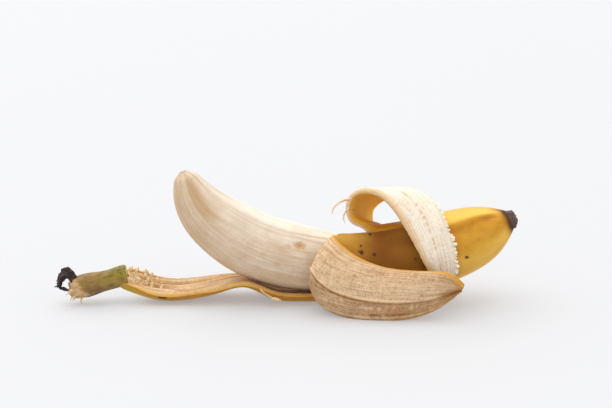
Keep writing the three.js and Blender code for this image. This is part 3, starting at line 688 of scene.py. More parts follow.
def lining_relief(strip, s, w):
    """Height of the fibrous inside in mm, and the named values for its colour."""
    k = STRIPS.index(strip)
    rng = np.random.default_rng(100 + k)
    h = np.zeros_like(s)
    rib = np.zeros_like(s)
    meander = 0.035 * fbm(s * 0.03, w * 1.2, 0, 51 + k, 2)
    ww = w + meander
    count = 34
    for i in range(count):
        w0 = -1 + 2 * (i + rng.uniform(0.15, 0.85)) / count
        wd = rng.uniform(0.012, 0.030)
        a = rng.uniform(0.03, 0.15) * (0.35 + 0.9 * noise(s * 0.045, i * 3.7, 0, 60 + k))
        b = bell(ww - w0, wd)
        h += a * b
        rib += 5.5 * a * b
    for i in range(9):
        w0 = rng.uniform(-0.95, 0.95)
        b = bell(ww - w0, rng.uniform(0.015, 0.028)) * smooth(0.35, 0.6, noise(s * 0.03, i * 5.1, 0, 70 + k))
        h -= 0.13 * b
        rib -= 0.8 * b
    brown = np.zeros_like(s)
    broad = fbm(s * 0.035, w * 1.6, 0, 55 + k, 3)
    weave = fbm(s * 0.85, w * 5.0, 0, 56 + k, 2)
    fine = fbm(s * 0.5, w * 14, 0, 57 + k, 2)
    h += 0.16 * broad + 0.050 * weave + 0.045 * fine
    rib += 0.35 * weave + 0.3 * fine
    tone = 0.35 + 0.45 * broad
    if strip is FRONT:
        wc = np.interp(s, *CREASE)
        d = w - wc
        line = bell(d, 0.030) * smooth(84, 96, s)
        h += 0.62 * line - 0.70 * smooth(0.0, 0.10, d) * (1 - smooth(0.25, 0.75, d)) * smooth(88, 100, s)
        rib += 1.1 * line - 1.0 * bell(d - 0.06, 0.035) * smooth(88, 100, s)
        amber = (1.15 * bell(d - 0.050, 0.036) * (0.7 + 0.6 * noise(s * 0.12, 0, 0, 88)) + 0.6 * bell(w + 0.845, 0.018)
                 + 0.5 * bell(w + 0.72, 0.015) + 0.35 * bell(w + 0.60, 0.012)) * smooth(86, 100, s)
        brown += amber * 0.80
        tone -= 0.35 * bell(d + 0.05, 0.05) * smooth(88, 100, s)
        rib += (0.5 * bell(w + 0.79, 0.020) + 0.5 * bell(w + 0.90, 0.022)) * smooth(86, 100, s)
        ticks = fbm(s * 0.62, w * 3.0 + 0.4 * np.sin(s * 0.3), 0, 151, 2)
        rib += 0.55 * ticks
        h += 0.07 * ticks
        tone += 0.38 * smooth(0.03, 0.14, d)
        for w0, a in ((-0.90, 0.26), (-0.79, 0.18), (-0.66, 0.12), (0.86, 0.20), (0.05, 0.10)):
            b = bell(ww - w0, 0.028)
            h += a * b
            rib += a * 4 * b - 0.5 * bell(ww - w0 - 0.055, 0.02)
        tip = smooth(150, 176, s)
        tone += 0.35 * tip
        streak = fbm(s * 0.10, w * 9, 0, 91, 3)
        brown += smooth(160, 176, s + 9 * streak) * 0.62
        brown += 0.6 * bell(w - 0.25 - 0.2 * smooth(165, 150, s), 0.13) * smooth(157, 170, s)
        h -= 0.8 * bell(w - 0.3, 0.16) * smooth(158, 171, s)
        h += 0.5 * bell(w + 0.25, 0.25) * smooth(160, 170, s) + 0.22 * streak * tip
        tone += 0.25 * smooth(0.5, 1.0, fbm(s * 0.02, w, 0, 93, 2))
    elif strip is CURLED:
        for w0, a in ((0.30, 0.20), (0.46, 0.24), (0.62, 0.20), (-0.86, 0.22), (-0.05, 0.12)):
            on = smooth(128, 146, s) if w0 > 0 else 1.0
            b = bell(ww - w0, 0.026) * on
            h += a * b
            rib += a * 3.5 * b - 0.55 * bell(ww - w0 - 0.05, 0.022) * on
        tone = tone * 0.7 + 0.22 * smooth(-0.35, -0.95, w) + 0.1 * smooth(150, 168, s)
        ticks = fbm(s * 0.95, w * 3.6 + 0.5 * np.sin(s * 0.35), 0, 153, 2) * smooth(94, 106, s)
        rib += 0.60 * ticks
        h += 0.08 * ticks
        brown += 0.35 * smooth(166, 172, s + 3 * fbm(w * 6, s * 0.2, 0, 95, 2))
    else:
        for w0, a in ((-0.72, 0.55), (-0.40, 0.42), (-0.12, 0.50), (0.20, 0.42), (0.52, 0.5), (0.80, 0.35)):
            m = w0 + 0.05 * fbm(s * 0.025, w0 * 9, 0, 97, 2)
            on = smooth(92, 108, s) * (1 - 0.3 * smooth(185, 200, s))
            b = bell(w - m, 0.055)
            h += a * b * on
            rib += (0.9 * b - 0.8 * bell(w - m - 0.10, 0.05)) * on
        tone += 0.45 * smooth(-0.2, 0.45, fbm(s * 0.03, w * 3.2, 0, 98, 3)) + 0.15 * smooth(-0.5, -1, w)
        brown += 0.80 * smooth(0.05, 0.5, fbm(s * 0.05, w * 6.5, 0, 99, 3)) * (0.45 + 0.55 * smooth(140, 190, s))
        # painted shade: the lying strip's lining is made darker brown under the pulp, where shade falls
        brown += 0.75 * smooth(142, 116, s) * (0.6 + 0.4 * noise(s * 0.1, w * 6, 0, 96))
        torn = smooth(180, 198, s)
        h += torn * (0.9 * fbm(s * 0.28, w * 3.2, 0, 94, 3) + 0.2)
        tone = tone * (1 - torn) + torn * (0.35 + 0.5 * fbm(s * 0.4, w * 4, 0, 90, 2))
    rise = 0.25 + 0.75 * smooth(86, 100, s) if strip is not CURLED else 0.4 + 0.6 * smooth(70, 84, s)
    return h * rise, dict(rib=np.clip(rib, -1.2, 1.5), brown=np.clip(brown, 0, 0.92), tone=np.clip(tone, 0, 1))


def build_skin():
    skin = Shell("skin")
    linings = []
    mats = {
        "front": ((0.82, 0.60, 0.37), (0.49, 0.26, 0.11), (0.275, 0.11, 0.03)),
        "curled": ((0.95, 0.88, 0.76), (0.92, 0.79, 0.61), (0.68, 0.46, 0.25)),
        "lying": ((0.94, 0.75, 0.49), (0.69, 0.39, 0.13), (0.31, 0.115, 0.022)),
    }
    for strip in STRIPS:
        s = row_table(strip)
        n = len(s)
        u = np.linspace(0, 1, COLS + 1)
        sheets = {}
        for inner in (False, True):
            e0, e1 = margins(strip, s, inner)
            w = (-1 + e0)[:, None] + (2 - e0 - e1)[:, None] * u[None, :]
            ss = np.repeat(s[:, None], COLS + 1, 1)
            p, nn = strip.point(ss, w), strip.normal(ss, w)
            thin0 = smooth(strip.start[1], strip.start[1] + 8, s)[:, None] * (w < 0)
            thin1 = smooth(strip.end[1], strip.end[1] + 8, s)[:, None] * (w >= 0)
            t = PEEL_T * (1 - EDGE_THIN * np.abs(w) ** 8 * (thin0 + thin1))
            t = t * (1 - 0.35 * smooth(strip.length - 5, strip.length, ss))
            if inner:
                h, vals = lining_relief(strip, ss, w)
                hw = half_width(strip, s)[:, None]
                near = np.minimum((w + 1) * hw + 30 * (ss < strip.start[1] + 10), (1 - w) * hw + 30 * (ss < strip.end[1] + 10))
                near = near + 0.45 * fbm(ss * 0.4, np.sign(w) * 4, 0, 140 + STRIPS.index(strip), 3)
                rim = np.where(w < 0, smooth(3.0, 1.6, near), 0.5 * smooth(1.6, 0.6, near)) if strip is FRONT else 0.6 * smooth(2.2, 0.9, near)
                if strip is LYING:
                    rim = np.maximum(rim, (w < 0) * 0.80 * smooth(5.5, 1.2, (w + 1) * hw + 1.2 * fbm(ss * 0.12, 5, 0, 148, 2)) * smooth(96, 112, ss))
                if strip is CURLED:
                    rim = np.maximum(rim * (w < 0), (0.42 + 0.25 * (1 - smooth(104, 124, ss))) * smooth(3.8, 2.0, (w + 1) * hw + 0.5 * fbm(ss * 0.3, 2, 0, 149, 2)))
                fade = smooth(HIDDEN_TO, HIDDEN_TO + 20, ss)
                q = p - nn * (t / 2 + h * fade)[..., None]
            else:
                th = strip.theta(w)
                q = p + nn * (t / 2 + skin_relief(ss, th))[..., None]
                vals = skin_values(strip, ss, w, th, q)
            q[..., 2] = np.maximum(q[..., 2], 0.03)
            sheets[inner] = (q, w, ss, vals)
        O, wo, ss, vo = sheets[False]
        rim = np.clip(rim, 0, 1)
        I, wi, _, vi = sheets[True]
        flip = strip.turn < 0
        skin.add(O, grid_faces(n, COLS + 1, flip=flip), **vo)
        if strip is LYING or strip is FRONT or strip is CURLED:
            pole = axis_point(np.array([-0.9]))[0]
            centre = np.array([[pole[0], PLANE_Y, pole[1]]])
            tri = np.array([[0, 1 + j, 2 + j] for j in range(COLS)])
            cap = np.vstack([centre, O[0]])
            capv = {k: np.vstack([np.asarray(v[0]).reshape(COLS + 1, -1)[:1], np.asarray(v[0]).reshape(COLS + 1, -1)])
                    for k, v in vo.items()}
            skin.add(cap, tri if not flip else tri[:, ::-1], **capv)
        # inside and torn edges
        k0 = int(np.searchsorted(s, HIDDEN_TO))
        lining = Shell("lining_" + strip.name)
        sheet = np.stack([wi * HALF_ARC, ss, np.zeros_like(ss)], -1)
        none = np.zeros_like(ss)
        lining.add(I[k0:], grid_faces(n - k0, COLS + 1, flip=not flip), edge=rim[k0:], sheet=sheet[k0:], cross=none[k0:],
                   **{k: v[k0:] for k, v in vi.items()})
        levels = np.array([0.0, 0.18, 0.5, 0.82, 1.0])
        for col, edge, sign in ((0, strip.start, 1), (-1, strip.end, -1)):
            r0 = int(np.searchsorted(s, edge[1]))
            a, b = I[r0:, col], O[r0:, col]
            out = a - I[r0:, 1 if col == 0 else -2]
            out = out / (np.linalg.norm(out, axis=1)[:, None] + 1e-9)
            sr = s[r0:]
            bulge = np.sin(levels * math.pi)[None, :] * (
                0.22 + 0.22 * fbm(sr[:, None] * 0.8, levels[None, :] * 3, 0, 120 + r0, 2)) * smooth(edge[1] + 10, edge[1] + 30, sr)[:, None]
            wall = a[:, None] * (1 - levels)[None, :, None] + b[:, None] * levels[None, :, None] + out[:, None] * bulge[..., None]
            wall[..., 2] = np.maximum(wall[..., 2], 0.03)
            shade = 0.25 + 0.75 * smooth(0.25, 0.95, levels)[None, :] + 0.15 * fbm(sr[:, None] * 0.6, levels[None, :] * 4, 0, 131, 2)
            first = {k: np.asarray(v)[r0:, col] for k, v in vi.items()}
            m = len(levels)
            lining.add(wall, grid_faces(len(sr), m, flip=(not flip) if col == -1 else flip),
                       edge=np.clip(shade * np.ones_like(wall[..., 0]), 0, 1),
                       sheet=np.stack([levels[None, :] * 2.6 + sheet[r0:, col, 0][:, None], np.repeat(sr[:, None], m, 1),
                                       np.zeros((len(sr), m))], -1),
                       cross=np.zeros(wall.shape[:2]), **{k: np.repeat(v[:, None], m, 1) for k, v in first.items()})
        a, b = I[-1], O[-1]
        cap = a[None] * (1 - levels)[:, None, None] + b[None] * levels[:, None, None]
        ends = {k: np.repeat(np.asarray(v)[-1][None], len(levels), 0) for k, v in vi.items()}
        lining.add(cap, grid_faces(len(levels), COLS + 1, flip=not flip), edge=np.repeat(levels[:, None], COLS + 1, 1) * 0.8,
                   sheet=np.repeat(sheet[-1][None], len(levels), 0), cross=np.zeros(cap.shape[:2]), **ends)
        linings.append(lining.build([lining_material("lining_" + strip.name, *mats[strip.name])]))
    return [skin.build([skin_material()])] + linings


# ---------------------------------------------------------------- the pulp
GROOVES = [(56.0, 0.34, 1.05), (50.0, 0.18, 0.7), (22.0, 0.26, 0.9), (4.0, 0.14, 0.9), (-22.0, 0.16, 0.8), (-48.0, 0.12, 0.8),
           (84.0, 0.2, 0.9), (112.0, 0.28, 1.0), (140.0, 0.2, 0.9), (170.0, 0.26, 1.0), (205.0, 0.2, 0.9), (232.0, 0.24, 1.0), (262.0, 0.18, 0.9)]
BRUISES = [(110.3, 34.9, 2.7, 2.1, 1.0), (115.9, 29.5, 1.6, 1.2, 0.45), (119.2, -5.7, 1.5, 1.1, 0.5), (117.4, 18.1, 2.6, 1.1, 0.35),
           (128.0, 4.6, 1.4, 1.0, 0.3), (104.0, 6.0, 1.6, 1.2, 0.35), (136, 130, 2.2, 1.6, 0.5), (112, 175, 2.0, 1.5, 0.5),
           (150, 210, 1.8, 1.3, 0.45), (98, 20, 1.3, 1.0, 0.35), (123, 250, 1.8, 1.2, 0.4)]


def build_pulp():
    cols = 176
    s = np.unique(np.concatenate([
        PULP_START + PULP_ROUND * (1 - np.cos(np.linspace(0.12, math.pi / 2, 8))), np.arange(16, 78, 3.0),
        np.arange(78, 172, 0.6), PULP_END - 12.7 * (1 - np.sin(np.linspace(0.0, math.pi / 2 - 0.03, 34)))]))
    th = np.linspace(0, 2 * math.pi, cols + 1)[:-1]
    S, T = np.meshgrid(s, th, indexing="ij")
    r = pulp_radius(S, T)
    bare = smooth(84, 98, S)
    taper = smooth(1.5, 9, r)
    X, Y = np.cos(T), np.sin(T)
    d = 0.28 * fbm(X * 1.3, Y * 1.3, S * 0.022, 200, 2) + 0.07 * fbm(X * 5, Y * 5, S * 0.10, 201, 2)
    d = d + 0.060 * fbm(X * 14, Y * 14, S * 0.06, 202, 2) + 0.035 * fbm(X * 20, Y * 20, S * 0.9, 203, 2)
    groove = np.zeros_like(S)
    for k, (deg, depth, width) in enumerate(GROOVES):
        path = rad(deg) + 0.05 * (fbm(S * 0.02, k * 7.0, 0, 210, 2))
        if k == 0:
            path = rad(1) * np.interp(S, [97, 106, 117, 130, 166], [61.4, 57.6, 54.4, 54.9, 54.9])
        if k == 2:
            path = rad(1) * np.interp(S, [100, 118, 131, 144, 152, 160, 172], [26, 25.2, 23.5, 23.5, 19.2, 17, 13])
        dd = ((T - path + math.pi) % (2 * math.pi) - math.pi) * r
        on = 0.35 + 0.65 * smooth(0.3, 0.6, noise(S * 0.03, k * 4.3, 0, 211))
        line = bell(dd, width * 0.55) * on
        d = d - depth * line + 0.4 * depth * bell(dd - width * 1.3, width) * on
        groove = np.maximum(groove, line * min(1, depth * 3.4))
    fine = np.zeros_like(S)
    rng = np.random.default_rng(7)
    for i in range(46):
        a0 = rng.uniform(0, 2 * math.pi)
        dd = ((T - a0 - 0.06 * fbm(S * 0.02, i * 3.1, 0, 215, 2) + math.pi) % (2 * math.pi) - math.pi) * 16.5
        fine = np.maximum(fine, bell(dd, rng.uniform(0.22, 0.42)) * smooth(0.45, 0.62, noise(S * 0.025, i * 5.7, 0, 216)))
    d = d - 0.10 * fine
    groove = np.maximum(groove, 0.5 * fine)
    bruise = np.zeros_like(S)
    for k, (s0, deg, a, b, amount) in enumerate(BRUISES):
        dt = ((T - rad(deg) + math.pi) % (2 * math.pi) - math.pi) * r
        q = np.hypot((S - s0) / a, dt / b) * (1 + 0.25 * fbm(S * 0.5 + k * 9, dt * 0.5, 0, 217, 2))
        d = d - 0.45 * amount * bell(q, 0.9) + 0.10 * amount * bell(q - 1.25, 0.35)
        bruise = np.maximum(bruise, amount * (bell(q, 0.9) * 0.95 + 0.25 * bell(q - 0.9, 0.3)))
    # flat pressed facet and small scuffs on the free end
    tipzone = smooth(150, 176, S)
    d = d - 0.5 * tipzone * bell((T - rad(10)), 0.30) * (1 - smooth(178, 184, S))
    tan = 1.25 * bell(T - rad(11), 0.24) * smooth(154, 166, S) * (1 - smooth(176, 183, S)) * (0.7 + 0.6 * noise(S * 0.25, T * 8, 0, 221))
    tan = tan + 0.22 * smooth(140, 172, S) - 0.12 * smooth(130, 104, S) + 0.45 * smooth(0.1, 0.7, fbm(X * 2.4, Y * 2.4, S * 0.05, 222, 3))
    # painted shade: the lower front of the pulp is made darker tan, where it faces away from the light
    tan = tan + 0.30 * bell((T - rad(-60) + math.pi) % (2 * math.pi) - math.pi, 0.7)
    d = d * bare * taper
    sheet = np.stack([T * 17.0, S, np.zeros_like(S)], -1)
    P = around(S, T, np.maximum(r + d, 0.02))
    pulp = Shell("pulp")
    tan = tan + 0.18 * smooth(0.2, 0.8, fbm(X * 6, Y * 6, S * 0.35, 223, 3))
    # painted highlight: the top of the pulp is made paler where the light from above falls on it
    light = bell((T - rad(98) + math.pi) % (2 * math.pi) - math.pi, 0.85) * (0.85 + 0.4 * fbm(X * 3, Y * 3, S * 0.06, 224, 3))
    vals = dict(groove=np.clip(groove * bare, 0, 1), tan=np.clip(tan, 0, 1), pale=np.clip(light, 0, 1), bruise=np.clip(bruise, 0, 0.9))
    pulp.add(P, grid_faces(len(s), cols, wrap=True, flip=True), sheet=sheet, **vals)
    for row, at, rev in ((0, PULP_START - 0.1, False), (-1, PULP_END + 0.02, True)):
        c = around(np.array([at]), np.array([0.0]), np.array([0.0]))
        tri = np.array([[0, 1 + j, 1 + (j + 1) % cols] for j in range(cols)])
        v = {k: np.concatenate([x[row][:1], x[row]]) for k, x in vals.items()}
        pulp.add(np.vstack([c, P[row]]), tri[:, ::-1] if rev else tri, sheet=np.vstack([sheet[row][:1], sheet[row]]), **v)
    return pulp.build([pulp_material()])


# ------------------------------------------------------- stem, scrap, blossom
def frames_along(c):
    t = np.gradient(c, axis=0)
    t /= np.linalg.norm(t, axis=1)[:, None]
    a = np.cross(t, np.array([0, 1.0, 0]))
    a /= np.linalg.norm(a, axis=1)[:, None]
    return t, a, np.cross(t, a)


def build_stem():
    key = np.array(STEM)
    run = np.concatenate([[0], np.cumsum(np.linalg.norm(np.diff(key[:, :3], axis=0), axis=1))])
    f = spline(np.column_stack([run, key]))
    L = run[-1]
    x = np.concatenate([np.linspace(0, L - 6, 80), np.linspace(L - 6, L, 44)[1:]])
    k = f(x)
    c, r = k[:, :3], k[:, 3]
    t, a, b = frames_along(c)
    cols = 120
    phi = np.linspace(0, 2 * math.pi, cols + 1)[:-1]
    X, F = np.meshgrid(x, phi, indexing="ij")
    R = r[:, None] * (1 + 0.045 * np.cos(5 * F + 0.4))
    R = R + 0.16 * fbm(np.cos(F) * 2.4, np.sin(F) * 2.4, X * 0.12, 301, 3)
    R = R + 0.10 * fbm(np.cos(F) * 9, np.sin(F) * 9, X * 0.10, 302, 2)
    up = (a[:, None] * np.cos(F)[..., None] + b[:, None] * np.sin(F)[..., None])[..., 2]
    torn = smooth(L - 7.5, L - 4.5, X - 3.6 * up + 3.4 * fbm(np.cos(F) * 2.2, np.sin(F) * 2.2, 0, 303, 3))
    R = R + torn * (0.85 * fbm(np.cos(F) * 5, np.sin(F) * 5, X * 0.25, 304, 3) - 0.1)
    R = R * (1 - 0.10 * bell(X, 0.5))
    R = np.maximum(R, 0.3)
    along = torn * 1.5 * fbm(np.cos(F) * 4, np.sin(F) * 4, 2.0, 305, 2)
    P = (c[:, None] + t[:, None] * along[..., None] + R[..., None] * (a[:, None] * np.cos(F)[..., None] + b[:, None] * np.sin(F)[..., None]))
    P[..., 2] = np.maximum(P[..., 2], 0.1)
    up = (a[:, None] * np.cos(F)[..., None] + b[:, None] * np.sin(F)[..., None])[..., 2]
    green = smooth(L * 0.62, L * 0.12, X + 3 * fbm(F * 1.5, X * 0.2, 0, 306, 2)) * (0.55 + 0.45 * smooth(-0.2, 0.7, up))
    # darker in random blotches, plus painted shade on the side of the stem facing down
    dark = 0.7 * smooth(0.30, 0.7, fbm(X * 0.35, np.cos(F) * 2, np.sin(F) * 2, 307, 3)) + 0.35 * smooth(-0.2, -0.9, up)
    stem = Shell("stem")
    sheet = np.stack([X, np.cos(F) * 6, np.sin(F) * 6], -1)
    vals = dict(green=np.clip(green, 0, 1), dark=np.clip(dark * (1 - torn), 0, 1), torn=np.clip(torn, 0, 1))
    stem.add(P, grid_faces(len(x), cols, wrap=True), sheet=sheet, cut=np.zeros_like(X), **vals)
    # snapped face at the fruit end: rings running in to the middle
    rings = np.array([1.0, 0.9, 0.72, 0.5, 0.28, 0.1])
    G, H = np.meshgrid(rings, phi, indexing="ij")
    dish = -0.35 * (1 - G ** 2) + 0.45 * fbm(G * 3 * np.cos(H), G * 3 * np.sin(H), 0, 308, 3) * (1 - G ** 6)
    face = c[0] + t[0] * (-dish)[..., None] * 1.0 + (P[0] - c[0])[None] * G[..., None]
    face[0] = P[0]
    one = np.ones_like(G)
    stem.add(face, grid_faces(len(rings), cols, wrap=True, flip=True), sheet=np.stack([G * 6, np.cos(H) * G * 6, np.sin(H) * G * 6], -1),
             cut=one * smooth(1.0, 0.9, G), green=one * 0.8, dark=one * 0, torn=one * 0)
    mid = face[-1].mean(0)
    tri = np.array([[0, 1 + j, 1 + (j + 1) % cols] for j in range(cols)])
    stem.add(np.vstack([mid, face[-1]]), tri, sheet=np.zeros((cols + 1, 3)), cut=np.ones(cols + 1), green=np.ones(cols + 1),
             dark=np.zeros(cols + 1), torn=np.zeros(cols + 1))
    # torn end
    G, H = np.meshgrid(np.array([0.8, 0.55, 0.3, 0.12]), phi, indexing="ij")
    end = c[-1] + (P[-1] - c[-1])[None] * G[..., None] + t[-1] * (0.9 * fbm(G * 4 * np.cos(H), G * 4 * np.sin(H), 0, 309, 3) + 0.4 * (1 - G))[..., None]
    end = np.concatenate([P[-1][None], end])
    one = np.ones(end.shape[:2])
    GG = np.vstack([np.ones((1, cols)), G])
    HH = np.vstack([H[:1], H])
    stem.add(end, grid_faces(len(end), cols, wrap=True), sheet=np.stack([GG * 2, np.cos(HH) * GG * 5, np.sin(HH) * GG * 5], -1),
             cut=one * 0, green=one * 0, dark=one * 0, torn=one)
    mid = end[-1].mean(0)
    stem.add(np.vstack([mid, end[-1]]), tri[:, ::-1], sheet=np.zeros((cols + 1, 3)), cut=np.zeros(cols + 1), green=np.zeros(cols + 1),
             dark=np.zeros(cols + 1), torn=np.ones(cols + 1))
    return stem.build([stem_material()])


def tube(shell, points, radii, cols=8, wobble=0.0, seed=0, flat=1.0, floor=0.02):
    """Closed tube through points, added to a shell."""
    pts = np.asarray(points, float)
    run = np.concatenate([[0], np.cumsum(np.linalg.norm(np.diff(pts, axis=0), axis=1))])
    f = spline(np.column_stack([run, pts, radii]))
    x = np.linspace(0, run[-1], max(6, int(run[-1] / 0.35)))
    k = f(x)
    c, r = k[:, :3], np.maximum(k[:, 3], 0.05)
    t, a, b = frames_along(c)
    phi = np.linspace(0, 2 * math.pi, cols + 1)[:-1]
    X, F = np.meshgrid(x, phi, indexing="ij")
    R = r[:, None] * (1 + wobble * fbm(X * 0.9, np.cos(F) * 1.5, np.sin(F) * 1.5, seed, 3))
    P = c[:, None] + R[..., None] * (a[:, None] * np.cos(F)[..., None] * flat + b[:, None] * np.sin(F)[..., None])
    P[..., 2] = np.maximum(P[..., 2], floor)
    sheet = np.stack([np.cos(F) * R, X, np.sin(F) * R], -1)
    shell.add(P, grid_faces(len(x), cols, wrap=True), sheet=sheet)
    tri = np.array([[0, 1 + j, 1 + (j + 1) % cols] for j in range(cols)])
    shell.add(np.vstack([P[0].mean(0), P[0]]), tri[:, ::-1], sheet=np.zeros((cols + 1, 3)))
    shell.add(np.vstack([P[-1].mean(0), P[-1]]), tri, sheet=np.zeros((cols + 1, 3)))


def build_scrap():
    key = np.array(SCRAP)
    scrap = Shell("dried_scrap")
    # a curled ribbon of dried skin
    pts = np.vstack([key[0] + [0.6, 0, -0.5, 0], key])
    run = np.concatenate([[0], np.cumsum(np.linalg.norm(np.diff(pts[:, :3], axis=0), axis=1))])
    f = spline(np.column_stack([run, pts]))
    x = np.linspace(0, run[-1], 56)
    c = f(x)[:, :3]
    t = np.gradient(c, axis=0)
    t /= np.linalg.norm(t, axis=1)[:, None]
    side = np.array([0.15, 1.0, 0.1])
    side = side / np.linalg.norm(side)
    n = np.cross(t, side)
    n /= np.linalg.norm(n, axis=1)[:, None]
    u = np.linspace(-1, 1, 23)
    half = np.interp(x, [0, run[-1] * 0.2, run[-1] * 0.5, run[-1] * 0.8, run[-1]], [2.6, 3.0, 3.3, 2.6, 1.1])
    X, U = np.meshgrid(x, u, indexing="ij")
    ragged = 1 + 0.22 * fbm(X * 0.9, np.sign(U) * 3, 0, 401, 3)
    wave = 0.7 * fbm(X * 0.35, U * 1.6, 0, 402, 3) + 0.45 * (U ** 2)
    base = c[:, None] + side * (U * half[:, None] * ragged)[..., None] + n[:, None] * wave[..., None]
    thick = (0.55 * (1 - 0.6 * U ** 4) * (1 + 0.4 * fbm(X * 1.2, U * 3, 0, 403, 2)))[..., None] * n[:, None]
    up, dn = base + thick, base - thick
    m, k = len(x), len(u)
    sheet = np.stack([U * 3, X, U * 0], -1)
    scrap.add(up, grid_faces(m, k), sheet=sheet)
    scrap.add(dn, grid_faces(m, k, flip=True), sheet=sheet + [0, 0, 2])
    for col, fl in ((0, False), (-1, True)):
        scrap.add(np.stack([dn[:, col], up[:, col]], 1), grid_faces(m, 2, flip=fl), sheet=np.repeat(sheet[:, col][:, None], 2, 1))
    for row, fl in ((0, True), (-1, False)):
        scrap.add(np.stack([dn[row], up[row]], 0), grid_faces(2, k, flip=fl), sheet=np.repeat(sheet[row][None], 2, 0))
    core = key[:, :3] + [0.2, 0.6, -0.2]
    tube(scrap, core, key[:, 3] * [0.85, 0.8, 0.95, 1.0, 0.9, 0.6], 30, 0.95, 405, 1.35)
    tube(scrap, core[1:5] + [-0.5, -1.8, -0.9], [0.5, 1.2, 1.2, 0.4], 20, 0.9, 406, 1.1)
    tube(scrap, [[-108.4, -5.0, 7.2], [-111.0, -5.6, 8.0], [-113.6, -5.6, 8.8], [-115.0, -5.2, 9.8]], [0.4, 0.75, 0.8, 0.35], 14, 0.9, 407, 1.0)
    # small dried strands at its free end
    rng = np.random.default_rng(5)
    for i in range(7):
        a = np.array([-113.6 + rng.uniform(-0.8, 0.8), -4.8 + rng.uniform(-2.2, 2.2), 11.2 + rng.uniform(-1.2, 1.6)])
        d = np.array([-rng.uniform(1.0, 3.0), rng.uniform(-0.8, 0.8), -rng.uniform(0.3, 1.8)])
        tube(scrap, [a, a + d * 0.5 + [0, 0, 0.3], a + d], [0.5, 0.42, 0.15], 7, 0.4, 410 + i)
    return scrap.build([dried_material("dried_scrap", (0.045, 0.020, 0.018), (0.014, 0.009, 0.010), (0.22, 0.085, 0.045))])


def build_blossom():
    s = np.concatenate([[3.0, 2.4, 1.8], np.linspace(1.3, -4.2, 34)])
    cols = 90
    th = np.linspace(0, 2 * math.pi, cols + 1)[:-1]
    S, T = np.meshgrid(s, th, indexing="ij")
    r = np.interp(-S, [-3, -1.3, 0, 1.5, 3, 3.8, 4.4], [5.0, 5.5, 5.0, 4.5, 4.0, 3.3, 2.0])
    lobes = 0.5 + 0.5 * np.cos(5 * T + 0.6)
    r = r * (0.90 + 0.12 * lobes)
    X, Y = np.cos(T), np.sin(T)
    rough = smooth(1.0, -1.0, S)
    r = r + rough * (0.95 * fbm(X * 3.2, Y * 3.2, S * 0.55, 501, 3) + 0.50 * fbm(X * 9, Y * 9, S * 1.3, 502, 2))
    ds = rough * 0.9 * fbm(X * 4, Y * 4, S * 0.3, 503, 2) + 0.8 * (lobes - 0.5) * smooth(-2.5, -5, S)
    P = around(S + np.minimum(ds, 0.7), T, np.maximum(r, 0.4))
    sheet = np.stack([T * 5, S, np.zeros_like(S)], -1)
    b = Shell("blossom_end")
    b.add(P, grid_faces(len(s), cols, wrap=True, flip=False), sheet=sheet)
    G, H = np.meshgrid(np.array([0.8, 0.58, 0.36, 0.15]), th, indexing="ij")
    c = P[-1].mean(0)
    direction = (P[-1].mean(0) - P[-6].mean(0))
    direction /= np.linalg.norm(direction)
    end = c + (P[-1] - c)[None] * G[..., None] - direction * (1.1 * (1 - G) + 0.7 * fbm(G * 3 * np.cos(H), G * 3 * np.sin(H), 0, 505, 3))[..., None]
    end = np.concatenate([P[-1][None], end])
    b.add(end, grid_faces(len(end), cols, wrap=True), sheet=end * 0.8)
    tri = np.array([[0, 1 + j, 1 + (j + 1) % cols] for j in range(cols)])
    b.add(np.vstack([end[-1].mean(0), end[-1]]), tri[:, ::-1], sheet=np.vstack([end[-1].mean(0), end[-1]]))
    return b.build([dried_material("blossom_end", (0.17, 0.105, 0.085), (0.035, 0.020, 0.019), (0.42, 0.32, 0.26))])


